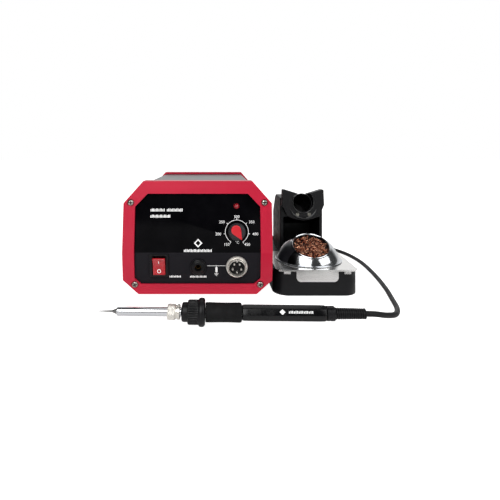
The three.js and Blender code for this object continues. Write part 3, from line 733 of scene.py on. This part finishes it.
class Print:
    """Flat marks laid on a surface in its own frame, in millimetres, as one thin mesh."""

    def __init__(self, place, rise_mm=0.03):
        self.place = place
        self.vertices = []
        self.faces = []
        self.low = rise_mm
        self.high = rise_mm + MARK_THICK_MM

    def outline(self, points):
        prism(self.vertices, self.faces, self.place, points, self.low, self.high)

    def bar(self, x0, y0, x1, y1, width):
        along = Vector((x1 - x0, y1 - y0)).normalized() * width / 2
        side = Vector((-along.y, along.x))
        start, end = Vector((x0, y0)), Vector((x1, y1))
        self.outline([start - side, end - side, end + side, start + side])

    def band(self, centre, radius, width, start, end, steps=72):
        """Part of a ring, angles clockwise from straight up, in radians."""
        low, high = radius - width / 2, radius + width / 2
        for i in range(steps):
            a = start + (end - start) * i / steps
            b = start + (end - start) * (i + 1) / steps
            self.outline([
                (centre[0] + r * math.sin(angle), centre[1] + r * math.cos(angle))
                for angle, r in ((a, high), (b, high), (b, low), (a, low))])

    def dashes(self, x0, x1, y, height, lengths, gap=1.1):
        """Rows of small plain blocks where a line of words might stand."""
        total = sum(lengths) + gap * (len(lengths) - 1)
        scale = (x1 - x0) / total
        x = x0
        for length in lengths:
            blocks = max(1, round(length * scale / BLOCK_PITCH_MM))
            step = length * scale / blocks
            for i in range(blocks):
                left = x + i * step
                right = left + step * BLOCK_FILL
                top = y + height * (1 if i % 3 else LOW_BLOCK)
                self.outline([(left, y), (right, y), (right, top), (left, top)])
            x += (length + gap) * scale

    def words(self, text, x, y, size):
        """Numbers and unit signs in the built-in typeface, centred."""
        curve = bpy.data.curves.new("mark", "FONT")
        curve.body = text
        curve.size = size * MM
        curve.align_x = "CENTER"
        curve.align_y = "CENTER"
        curve.extrude = MARK_THICK_MM / 2 * MM
        curve.resolution_u = 3
        holder = linked("mark", curve)
        graph = bpy.context.evaluated_depsgraph_get()
        mesh = bpy.data.meshes.new_from_object(holder.evaluated_get(graph))
        bpy.data.objects.remove(holder)
        shift = mm(x, y, (self.low + self.high) / 2)
        first = len(self.vertices)
        self.vertices += [self.place @ (vertex.co + shift) for vertex in mesh.vertices]
        self.faces += [[first + i for i in polygon.vertices] for polygon in mesh.polygons]
        bpy.data.meshes.remove(mesh)

    def finish(self, name, body, slot):
        mesh = mesh_from(name, self.vertices, self.faces)
        return add_piece(name, mesh, body, slot, PRINT_WHITE_PAINTED_GLOW, sharp=60)


SCALE_R = 10.4
SCALE_LINE = 0.42
SCALE_TICK = 1.6
SCALE_END = math.radians(149)
SCALE_NUMBERS = range(150, 451, 50)


def print_scale():
    """Temperature scale round the knob: arc, ticks, numbers and unit."""
    marks = Print(frame_at(upper_point, upper_normal))
    marks.band((0, 0), SCALE_R, SCALE_LINE, -SCALE_END, SCALE_END)
    tick_end = SCALE_R + SCALE_TICK
    last = len(SCALE_NUMBERS) - 1
    for i, number in enumerate(SCALE_NUMBERS):
        angle = -SCALE_END + 2 * SCALE_END * i / last
        across, up = math.sin(angle), math.cos(angle)
        marks.bar(across * SCALE_R, up * SCALE_R, across * tick_end, up * tick_end, SCALE_LINE)
        marks.words(str(number), across * (16.7 + 1.4 * abs(up)), up * 13.2, 3.5)
    marks.words("°C", 0.3, -9.6, 3.1)
    marks.finish("temperature_scale", "station", "panel_gloss")


def print_panel():
    """Plain blocks, a diamond and a ground sign where the front carries its lettering."""
    slope = abs(upper_normal.y)
    upper_from, lower_from = 60, 20  # heights of the two frames' own middles

    def up(height_mm):
        return (height_mm - upper_from) / slope

    def down(height_mm):
        return (height_mm - lower_from) / slope

    upper = Print(on_panel(upper_from))
    upper.dashes(-42.7, -13.3, up(75.3), 2.6, [9, 10])
    upper.dashes(-42.7, -24.4, up(69.8), 2.6, [12])
    upper.dashes(-12.2, 13.2, up(39.7), 2.4, [12])
    x, y, inner, outer = 0.5, up(47.4), 2.4, 3.8
    for sx, sy in ((1, 1), (-1, 1), (-1, -1), (1, -1)):
        corner = [(x + sx * inner, y), (x + sx * outer, y), (x, y + sy * outer),
                  (x, y + sy * inner)]
        upper.outline(corner[::sx * sy])
    upper.finish("upper_print", "station", "panel_gloss")

    lower = Print(on_panel(lower_from))
    lower.dashes(-25.3, -14.7, down(16.1), 1.8, [5])
    lower.dashes(-6.8, 8.3, down(16.0), 1.8, [5])
    x, line, top, bottom, ground = 16.9, 0.35, 27, 21, 19.6
    body_top = 25.6
    lower.bar(8.7, down(top), 25.3, down(top), line)
    lower.outline([(16, down(bottom)), (17.9, down(bottom)), (17.9, down(body_top)),
                   (16, down(body_top))])
    lower.bar(x, down(body_top), x, down(top), line)
    lower.bar(x, down(ground), x, down(bottom), line)
    for i, half in enumerate((1.9, 1.2, 0.5)):
        level = down(ground - i * 0.9)
        lower.bar(x - half, level, x + half, level, 0.4)
    lower.finish("lower_print", "station", "panel_gloss")


def print_on_handle(iron):
    """Plain marks on the facet that faces the user."""
    half_side = math.pi / HANDLE_SIDES
    out = Vector((0, -math.cos(half_side), math.sin(half_side)))
    facing = (iron.to_3x3().inverted() @ out).normalized()
    along = Vector((0, 0, 1))
    turn = Matrix((along, facing.cross(along), facing)).transposed().to_4x4()
    at = mm(0, 0, 137) + facing * HANDLE_FLAT_MM * MM
    marks = Print(iron @ Matrix.Translation(at) @ turn)
    marks.outline([(-2.2, 0.5), (0, -1.4), (2.2, 0.5), (0, 2.4)])
    marks.dashes(4.6, 22.8, -0.4, 1.8, [9])
    marks.finish("handle_print", "iron", "black_plastic")


# ---- front controls
FRONT_HEAD_MM = 2.1  # from a front screw's middle out to the seat of its head
REAR_HEAD_MM = 1.2  # from a rear screw's end in to the seat of its head


def screw_head(node, place, look):
    """Pan head with a cross recess, with painted shade at its bottom."""
    arm, wide = 1.85, 0.48
    cross = [(-wide, -arm), (wide, -arm), (wide, -wide), (arm, -wide), (arm, wide),
             (wide, wide), (wide, arm), (-wide, arm), (-wide, wide), (-arm, wide),
             (-arm, -wide), (-wide, -wide)]
    body = turned(node, [
        (0, -5.4), (1.1, -5.4), (1.5, -4.8), (1.5, -0.6), (2.75, -0.6), (2.8, -0.3),
        (2.7, 0.2), (2.4, 0.65), (1.8, 1.0), (1.0, 1.17), (0, 1.2),
    ], place, 40)
    cutter = slab("cross", place, cross, 0.1, 2)
    # thin dark cross at the recess's bottom: painted shade
    add_piece(f"{node}_recess", slab("recess", place, cross, 0.09, 0.25), "station",
              SLOTS[node], RECESS_SHADE)
    stand_in(f"{node}_head", carve(body, cutter), node, look, 0.00006, 35)


def make_screws():
    for i in range(1, 5):
        node = f"front_screw_{i}"
        centre = middle(node)
        normal = face_at(centre.z)[1]
        turn = random.Random(i).uniform(0, math.pi / 2)
        place = frame_at(centre + normal * FRONT_HEAD_MM * MM, normal)
        screw_head(node, place @ Matrix.Rotation(turn, 4, "Z"), SCREW_ZINC)
    for i in range(1, 5):
        node = f"rear_screw_{i}"
        seat_at = middle(node)
        seat_at.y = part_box(node)[1].y - REAR_HEAD_MM * MM
        turn = random.Random(i + 10).uniform(0, math.pi / 2)
        screw_head(node, frame_at(seat_at, Y_AXIS) @ Matrix.Rotation(turn, 4, "Z"), GUNMETAL)


ROCKER_TILT = math.radians(12)
ROCKER_HALF = 7.9  # the shape of its curved top, in millimetres from the pivot
ROCKER_DIP = 1.45
ROCKER_RISE_AT_END = 1.6
ROCKER_CURVE = 1.5
ROCKER_MARK_AT = 4.6


def rocker_top(y):
    return ROCKER_DIP + ROCKER_RISE_AT_END * (abs(y) / ROCKER_HALF) ** ROCKER_CURVE


def make_rocker():
    pivot = Vector(JOINTS["power_rocker_turn"]["pos_m"])
    place = frame_at(pivot, lower_normal) @ Matrix.Rotation(ROCKER_TILT, 4, "X")
    profile = [(-8.2, 2.7), (-8.2, 1), (-4.5, -4.2), (4.5, -4.2), (8.2, 1), (8.2, 2.7)]
    steps = 24
    for i in range(steps + 1):
        y = ROCKER_HALF - 2 * ROCKER_HALF * i / steps
        profile.append((y, rocker_top(y)))
    vertices = []
    sections = [(-5.5, 0.4), (-5.2, 0.08), (-4.6, 0), (4.6, 0), (5.2, 0.08), (5.5, 0.4)]
    for x, drop in sections:
        for y, z in profile:
            lowered = z - drop if z > 1.2 else z
            vertices.append(place @ mm(x, y, lowered))
    mesh = mesh_from("rocker_paddle", vertices, tube_faces(0, len(sections), len(profile)))
    stand_in("rocker_paddle", mesh, "power_rocker", bevel=0.0002)
    tilt_at = 5.0  # the marks lie as steep as the top is here
    steepness = (ROCKER_RISE_AT_END * ROCKER_CURVE / ROCKER_HALF
                 * (tilt_at / ROCKER_HALF) ** (ROCKER_CURVE - 1))
    for sign, name in ((1, "on_mark"), (-1, "off_mark")):
        spot = mm(0, sign * ROCKER_MARK_AT, rocker_top(ROCKER_MARK_AT))
        tilt = Matrix.Rotation(math.atan(steepness) * sign, 4, "X")
        marks = Print(place @ Matrix.Translation(spot) @ tilt, 0.12)
        if sign > 0:
            marks.bar(0, -1.6, 0, 1.6, 0.6)
        else:
            marks.band((0, 0), 1.5, 0.55, 0, math.tau, 32)
        marks.finish(name, "rocker", "rocker_red")


POINTER_TURN = math.radians(-59)
POINTER_R = 4.3  # round end of the drop-shaped cap, in millimetres
POINTER_CENTRE = -2.4
POINTER_TIP = 7.4


def make_knob():
    place = frame_at(upper_point, upper_normal)

    def flutes(angle, radius, height):
        return -0.16 * (0.5 + 0.5 * math.cos(angle * 30)) if 4.4 < height < 9.6 else 0

    turned_in("knob_body", "temperature_knob", [
        (0, 9.5), (3.3, 9.5), (3.3, 3.6), (4.9, 3.6), (4.9, 1), (7.5, 1), (7.8, 1.3),
        (7.8, 2.7), (7.55, 3.1), (6.95, 3.5), (6.85, 4.2), (6.8, 4.8), (6.55, 9.2),
        (6.45, 9.8), (6.0, 10.3), (5.4, 10.5), (0, 10.5),
    ], place, sides=240, ripple=flutes, bevel=0.0001)
    spread = math.acos(POINTER_R / (POINTER_TIP - POINTER_CENTRE))
    outline = [(POINTER_TIP - 0.5, -0.35), (POINTER_TIP - 0.15, 0), (POINTER_TIP - 0.5, 0.35)]
    steps = 32
    for i in range(steps + 1):
        angle = spread + (math.tau - 2 * spread) * i / steps
        outline.append((POINTER_CENTRE + POINTER_R * math.cos(angle),
                        POINTER_R * math.sin(angle)))
    cap_place = place @ Matrix.Rotation(POINTER_TURN, 4, "Z")
    cap = slab("pointer_cap", cap_place, outline, 10.7, 13.1)
    stand_in("pointer_cap", cap, "knob_pointer", bevel=0.0007, segments=5)


PIN_CIRCLE_MM = 4


def make_socket():
    place = seat("iron_socket_shell")
    turned_in("socket_shell", "iron_socket_shell", [
        (7.1, -12), (7.6, -12), (7.6, 0.3), (9.5, 0.3), (9.7, 0.5), (9.7, 1.7), (9.4, 2.2),
        (8.9, 2.35), (8.3, 2.4), (8.2, 2.7), (8.2, 5.2), (8.05, 5.7), (7.75, 6.0), (7.4, 5.95),
        (7.1, 5.5),
    ], place, SATIN_CHROME, 96)
    turned_in("socket_face", "iron_socket_insert", [
        (0, -11), (6.8, -11), (6.8, 1.3), (6.5, 1.6), (0, 1.6)], place)
    key = slab("socket_key", place, [(-1.1, 5.9), (1.1, 5.9), (0.8, 7.0), (-0.8, 7.0)], 1.2, 5.2)
    add_piece("socket_key", key, "station", "chrome_plate", SATIN_CHROME, bevel=0.0002)
    for i in range(5):
        angle = -math.pi / 2 + i * math.tau / 5
        pin_place = place @ Matrix.Translation(round_mm(PIN_CIRCLE_MM, angle))
        turned_in(f"pin_{i + 1}", f"socket_pin_{i + 1}", [
            (0, 1.9), (0.8, 1.9), (0.8, 4.3), (0.65, 4.7), (0.35, 4.88), (0, 4.9),
        ], pin_place, SATIN_CHROME, 24)


def make_jack():
    def collar(angle, radius, height):
        return -0.25 * (0.5 - 0.5 * math.cos(angle * 6)) if radius > 6.4 and height > 0.4 else 0

    turned_in("jack_collar", "ground_jack_body", [
        (3.0, -14), (5.5, -14), (5.5, 0.3), (7.2, 0.3), (7.4, 0.6), (7.4, 1.5), (7.0, 2.1),
        (6.2, 2.4), (5.9, 2.1), (5.6, 2.1), (5.3, 2.5), (4.6, 2.8), (3.6, 2.8), (3.15, 2.6),
        (3.0, 2.2),
    ], seat("ground_jack_body"), sides=120, ripple=collar)


def make_lamp():
    turned_in("lamp_lens", "indicator_led", [
        (0, -6), (2.9, -6), (2.9, -2.4), (2.45, -2.4), (2.45, 0.4), (2.36, 1.05), (2.1, 1.65),
        (1.65, 2.2), (1.1, 2.58), (0.55, 2.76), (0, 2.8),
    ], seat("indicator_led"), sides=48)


# ---- stand
DOME_R_MM = 31.0
DOME_T_MM = 1.2
MOUTH_R_MM = 17.5
DOME_TILT = math.radians(27)
DOME_TURNED_TO = math.radians(125)  # turned past its foot, then cut level with it


def dome_frame():
    """Centre of the dome's sphere, Z out through the mouth."""
    low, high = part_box("cleaner_dome")
    foot = math.sqrt(DOME_R_MM ** 2 - ((high.x - low.x) / MM / 2) ** 2)
    centre = middle("cleaner_dome")
    centre.z = low.z - foot * MM
    return frame_at(centre, Vector((0, -math.sin(DOME_TILT), math.cos(DOME_TILT))))


def cap_arc(radius, start, end, steps):
    angles = [start + (end - start) * i / steps for i in range(steps + 1)]
    return [(radius * math.sin(a), radius * math.cos(a)) for a in angles]


def cut_below(mesh, height):
    """Removes what is below a level and closes the cut."""
    work = bmesh.new()
    work.from_mesh(mesh)
    result = bmesh.ops.bisect_plane(
        work, geom=work.verts[:] + work.edges[:] + work.faces[:], plane_co=(0, 0, height),
        plane_no=(0, 0, 1), clear_inner=True)
    edges = [item for item in result["geom_cut"] if isinstance(item, bmesh.types.BMEdge)]
    bmesh.ops.edgenet_fill(work, edges=edges)
    bmesh.ops.recalc_face_normals(work, faces=work.faces)
    work.to_mesh(mesh)
    work.free()
    return mesh


def make_dome(place):
    """Sphere with a round mouth and a rolled foot."""
    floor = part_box("cleaner_dome")[0].z
    mouth = math.asin(MOUTH_R_MM / DOME_R_MM) + 0.03
    outside = cap_arc(DOME_R_MM, mouth, DOME_TURNED_TO, 60)
    inside = cap_arc(DOME_R_MM - DOME_T_MM, DOME_TURNED_TO, mouth, 60)
    lip = [(MOUTH_R_MM - 0.75, 25.2), (MOUTH_R_MM - 0.5, 25.75), (MOUTH_R_MM, 26.0),
           (MOUTH_R_MM + 0.5, 25.75)]
    shell = turned("dome_shell", [*outside, *inside, *lip], place, 144)
    stand_in("dome_shell", cut_below(shell, floor), "cleaner_dome", DOME_CHROME, sharp=50)
    at = place.translation.copy()
    foot = math.sqrt(DOME_R_MM ** 2 - ((floor - at.z) / MM) ** 2)
    at.z = floor
    rim = turned("dome_foot", [
        (foot - 1.4, 0.0), (foot + 1.7, 0.0), (foot + 1.9, 0.25), (foot + 1.6, 0.6),
        (foot + 0.3, 0.75), (foot - 0.6, 0.7),
    ], Matrix.Translation(at), 144)
    add_piece("dome_foot", rim, "cleaner", "chrome_plate", DOME_CHROME, bevel=0.0001)


CURLS = 900
CURL_STEPS = 11  # points in a turn of a curl
CURL_THICK = 0.09
WOOL_R = 16.0
WOOL_CROWN = 25.9


def make_wool(place):
    """Curled flat shavings heaped in the mouth over a core coloured dark as painted shade between the curls."""
    chance = random.Random(7)
    vertices = []
    faces = []
    for _ in range(CURLS):
        reach = math.sqrt(chance.random()) * WOOL_R
        bearing = chance.uniform(0, math.tau)
        top = WOOL_CROWN - 0.007 * reach * reach
        at = Vector((reach * math.cos(bearing), reach * math.sin(bearing),
                     top - chance.uniform(0.2, 4.6)))
        axis = Vector((chance.gauss(0, 1), chance.gauss(0, 1), chance.gauss(0, 0.5))).normalized()
        first = axis.orthogonal().normalized()
        second = axis.cross(first)
        radius = chance.uniform(0.45, 1.05)
        pitch = chance.uniform(0.5, 1.2)
        turns = chance.uniform(1.1, 2.6)
        width = chance.uniform(0.18, 0.4)
        start = chance.uniform(0, math.tau)
        steps = int(turns * CURL_STEPS)
        faces += tube_faces(len(vertices), steps + 1, 4)
        for i in range(steps + 1):
            angle = start + math.tau * turns * i / steps
            out = first * math.cos(angle) + second * math.sin(angle)
            drift = axis * pitch * turns * (i / steps - 0.5)
            swell = radius * (0.8 + 0.3 * math.sin(3 * i / steps + start))
            centre = at + out * swell + drift
            for dw, dt in ((-0.5, -0.5), (0.5, -0.5), (0.5, 0.5), (-0.5, 0.5)):
                point = centre + axis * width * dw + out * CURL_THICK * dt
                vertices.append(place @ (point * MM))
    stand_in("wool_curls", mesh_from("wool_curls", vertices, faces), "brass_wool", sharp=50)
    # the core's dark colour is painted shade seen between the curls
    core_r = DOME_R_MM - DOME_T_MM - 0.6
    rim = math.asin(16.4 / core_r) + 0.16
    profile = [(0, 22.8), (6, 22.6), (11, 22.1), (15.2, 21.6)]
    profile += cap_arc(core_r, rim, DOME_TURNED_TO, 24)
    profile.append((0, profile[-1][1]))
    core = turned("wool_painted_shade_core", profile, place, 64,
                  lambda angle, radius, height: 0.35 * math.sin(angle * 9 + height * 3))
    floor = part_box("brass_wool")[0].z
    add_piece("wool_painted_shade_core", cut_below(core, floor), "cleaner", "wool", WOOL_SHADE_CORE, sharp=60)


REST_SLOPE = math.radians(20)
REST_BORE_Z = 0.0774
REST_SCREW_Z = 0.0641


def arc_on_rest(middle_of_arc, half_wide, half_high, gap):
    """Points round an ellipse on the rest's front, open at the top by gap to either side."""
    steps = 64
    points = []
    for i in range(steps + 1):
        angle = math.pi / 2 + gap + (math.tau - 2 * gap) * i / steps
        points.append(middle_of_arc + mm(
            half_wide * math.cos(angle), -0.1, half_high * math.sin(angle)))
    return points


def fading_rib(name, points, radius_mm):
    """Round rib whose ends sink into the surface."""
    last = len(points) - 1

    def radius_at(i):
        near_end = min(i, last - i) / last
        return radius_mm * MM * max(0.15, min(1, near_end / 0.16)) ** 0.7

    mesh = swept(name, points, radius_at, 12)
    add_piece(name, mesh, "stand", "black_plastic", LIP_BLACK)


def make_rest_details():
    """Sleeve in the iron's opening, the lip round it, the chin collar and its two screws."""
    at = middle("iron_rest")
    at.y, at.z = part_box("iron_rest")[0].y, REST_BORE_Z
    place = frame_at(at, Vector((0, -math.cos(REST_SLOPE), math.sin(REST_SLOPE))))
    turned_in("rest_sleeve", "rest_tube", [(9.5, -48), (10.3, -48), (10.3, -5), (9.5, -5)],
              place, BLACK_OXIDE, 96, bevel=0.0002)
    lip_r = 10.95
    fading_rib("rest_lip", arc_on_rest(at, lip_r, lip_r / math.cos(REST_SLOPE),
                                       math.radians(44)), 0.6)
    chin = at - mm(0, 0, 3.6)
    fading_rib("rest_chin", arc_on_rest(chin, 14.2, 13.6, math.radians(106)), 1.25)
    for name, across in (("rest_screw_left", -6.1), ("rest_screw_right", 6.1)):
        spot = Vector((at.x + across * MM, at.y, REST_SCREW_Z))
        head = turned(name, [
            (0, -3), (1.2, -3), (1.2, -0.2), (2.1, -0.2), (2.1, 0.2), (1.6, 0.7), (0, 0.9),
        ], frame_at(spot, -Y_AXIS), 32)
        add_piece(name, head, "stand", "steel", GUNMETAL, bevel=0.0001)


def make_back_details():
    """Blades in the mains inlet and a slot in the fuse cap."""
    inlet = middle("mains_inlet")
    inlet.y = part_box("mains_inlet")[1].y - 17.2 * MM
    blade = [(-1, -2), (1, -2), (1, 2), (-1, 2)]
    for name, x, z in (("blade_left", -7, -1.6), ("blade_right", 7, -1.6), ("blade_earth", 0, 2.8)):
        place = frame_at(inlet + mm(x, 0, z), Y_AXIS)
        add_piece(name, slab(name, place, blade, 0, 12), "station", "chrome_plate", NICKEL,
                  bevel=0.0004)
    cap = middle("fuse_cap")
    cap.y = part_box("fuse_cap")[1].y
    place = frame_at(cap, Y_AXIS)

    def grip(angle, radius, height):
        return -0.25 * (0.5 + 0.5 * math.cos(angle * 24)) if radius > 6 else 0

    body = turned("fuse_knob", [
        (0, -33.5), (3.1, -33.5), (3.1, -5.6), (6.6, -5.6), (6.8, -5.3), (6.8, -1.4),
        (6.5, -0.5), (5.8, 0), (0, 0)], place, 96, grip)
    slot = slab("slot", place, [(-5, -0.6), (5, -0.6), (5, 0.6), (-5, 0.6)], -1.3, 2)
    stand_in("fuse_knob", carve(body, slot), "fuse_cap", sharp=35)


def make_feet():
    for i in range(1, 5):
        node = f"station_foot_{i}"
        at = middle(node)
        at.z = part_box(node)[0].z
        turned_in(f"foot_{i}", node, [
            (0, 0.6), (3.2, 0.5), (3.8, 0), (6.3, 0), (6.8, 0.4), (7, 1), (7, 3.3), (6.8, 3.5),
            (0, 3.5),
        ], Matrix.Translation(at), sides=48)


# ---- floor and light
FLOOR_GREY = 0xE8E8E8
FLOOR_HALF = 6
FLOOR_LIFT = 0.95  # glow of the floor as it is seen
FLOOR_GLOW = 0.15  # and as it lights the set
ROOM_GLOW = 0.05
BACKDROP_GLOW = 0.85
BACKDROP_FROM = 0.35  # how far towards +Y the backdrop starts and is at its full glow
BACKDROP_FULL = 0.75
FLAG_GAP_MM = 0.7
MIDDLE_OF_SET = Vector((0, 0, 0.05))


def staged(name, corners, surface):
    """Four-sided sheet that isn't part of the object."""
    mesh = mesh_from(name, corners, [[0, 1, 2, 3]])
    mesh.materials.append(surface.material)
    sheet = linked(name, mesh)
    return sheet


def make_floor():
    """Pale floor that shows as bright as the backdrop and lights the set as a plain matt one."""
    made = Surface("pale_floor", FLOOR_GREY, 0.9, specular=0.0)
    made.vary_colour(3, 0.99, 1.0)
    made.glow(WHITE, 0)
    path = made.add("ShaderNodeLightPath", {})
    shown = made.spread(path.outputs["Is Camera Ray"], FLOOR_GLOW, FLOOR_LIFT, 0, 1)
    made.link(shown, made.shader.inputs["Emission Strength"])
    h = FLOOR_HALF
    staged("floor", [(-h, -h, 0), (h, -h, 0), (h, h, 0), (-h, h, 0)], made)


def soft_light(name, at, power, width, height):
    data = bpy.data.lights.new(name, "AREA")
    data.shape = "RECTANGLE"
    data.size = width
    data.size_y = height
    data.energy = power
    light = linked(name, data)
    light.location = at
    light.rotation_mode = "QUATERNION"
    light.rotation_quaternion = (MIDDLE_OF_SET - Vector(at)).to_track_quat("-Z", "Y")


def make_flag():
    """Small black card beside the power unit, seen only in reflections, that keeps the side of
    its front bezel out of the dome."""
    low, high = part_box("front_bezel")
    x = high.x + FLAG_GAP_MM * MM
    black = Surface("flag_black", 0x040404, 0.9, specular=0.0)
    black.vary_colour(40, 0.9, 1.1)
    flag = staged("flag", [(x, low.y, 0), (x, high.y, 0), (x, high.y, high.z),
                           (x, low.y, high.z)], black)
    flag.visible_camera = False
    flag.visible_diffuse = False
    flag.visible_shadow = False
    flag.visible_transmission = False


def make_world():
    """White backdrop behind the set; the rest of the room is dim."""
    world = bpy.data.worlds.new("studio")
    bpy.context.scene.world = world
    world.use_nodes = True
    tree = world.node_tree
    link = tree.links.new
    room = set_inputs(tree.nodes["Background"], {"Color": WHITE})
    seen = set_inputs(tree.nodes.new("ShaderNodeBackground"), {"Color": WHITE, "Strength": 1})
    place = tree.nodes.new("ShaderNodeTexCoord")
    split = tree.nodes.new("ShaderNodeSeparateXYZ")
    ranged = set_inputs(tree.nodes.new("ShaderNodeMapRange"), {
        "From Min": BACKDROP_FROM, "From Max": BACKDROP_FULL,
        "To Min": ROOM_GLOW, "To Max": BACKDROP_GLOW})
    ranged.interpolation_type = "SMOOTHSTEP"
    path = tree.nodes.new("ShaderNodeLightPath")
    mixed = tree.nodes.new("ShaderNodeMixShader")
    link(place.outputs["Generated"], split.inputs["Vector"])
    link(split.outputs["Y"], ranged.inputs["Value"])
    link(ranged.outputs["Result"], room.inputs["Strength"])
    link(path.outputs["Is Camera Ray"], mixed.inputs["Fac"])
    link(room.outputs["Background"], mixed.inputs[1])
    link(seen.outputs["Background"], mixed.inputs[2])
    link(mixed.outputs["Shader"], tree.nodes["World Output"].inputs["Surface"])


def make_light():
    make_world()
    soft_light("key_front", (-0.44, -1.17, 1.0), 15, 1.15, 1.3)
    soft_light("key_right", (0.98, -0.66, 0.85), 8, 1.0, 1.2)
    soft_light("top_back", (0, 0.75, 1.3), 3, 1.0, 1.0)
    bpy.context.scene.view_settings.view_transform = "Standard"


# ---- the whole set
make_camera()
paint_cad_nodes()
iron_place = iron_frame()
lead, lead_points, lead_length = make_lead(iron_place)
plug_pieces = make_plug()

for node, edge in (
    ("front_bezel", 0.0013), ("rear_bezel", 0.0013), ("case_sleeve", 0.0003),
    ("front_panel", 0.00015), ("rear_panel", 0.00015), ("power_switch_body", 0.0005),
    ("mains_inlet", 0.0005), ("stand_base", 0.0011), ("stand_tower", 0.0009),
    ("iron_rest", 0.0008), ("heat_sink", 0.0002), ("control_board", 0.0001),
    ("transformer_core", 0.0003), ("transformer_winding", 0.0008),
):
    refined(node, edge)
refined("cleaner_plate", 0.0003, PLATE_STEEL)

make_iron(iron_place)
make_screws()
make_rocker()
make_knob()
make_socket()
make_jack()
make_lamp()
dome_place = dome_frame()
make_dome(dome_place)
make_wool(dome_place)
make_rest_details()
make_back_details()
make_feet()
print_scale()
print_panel()
make_floor()
make_flag()
make_light()
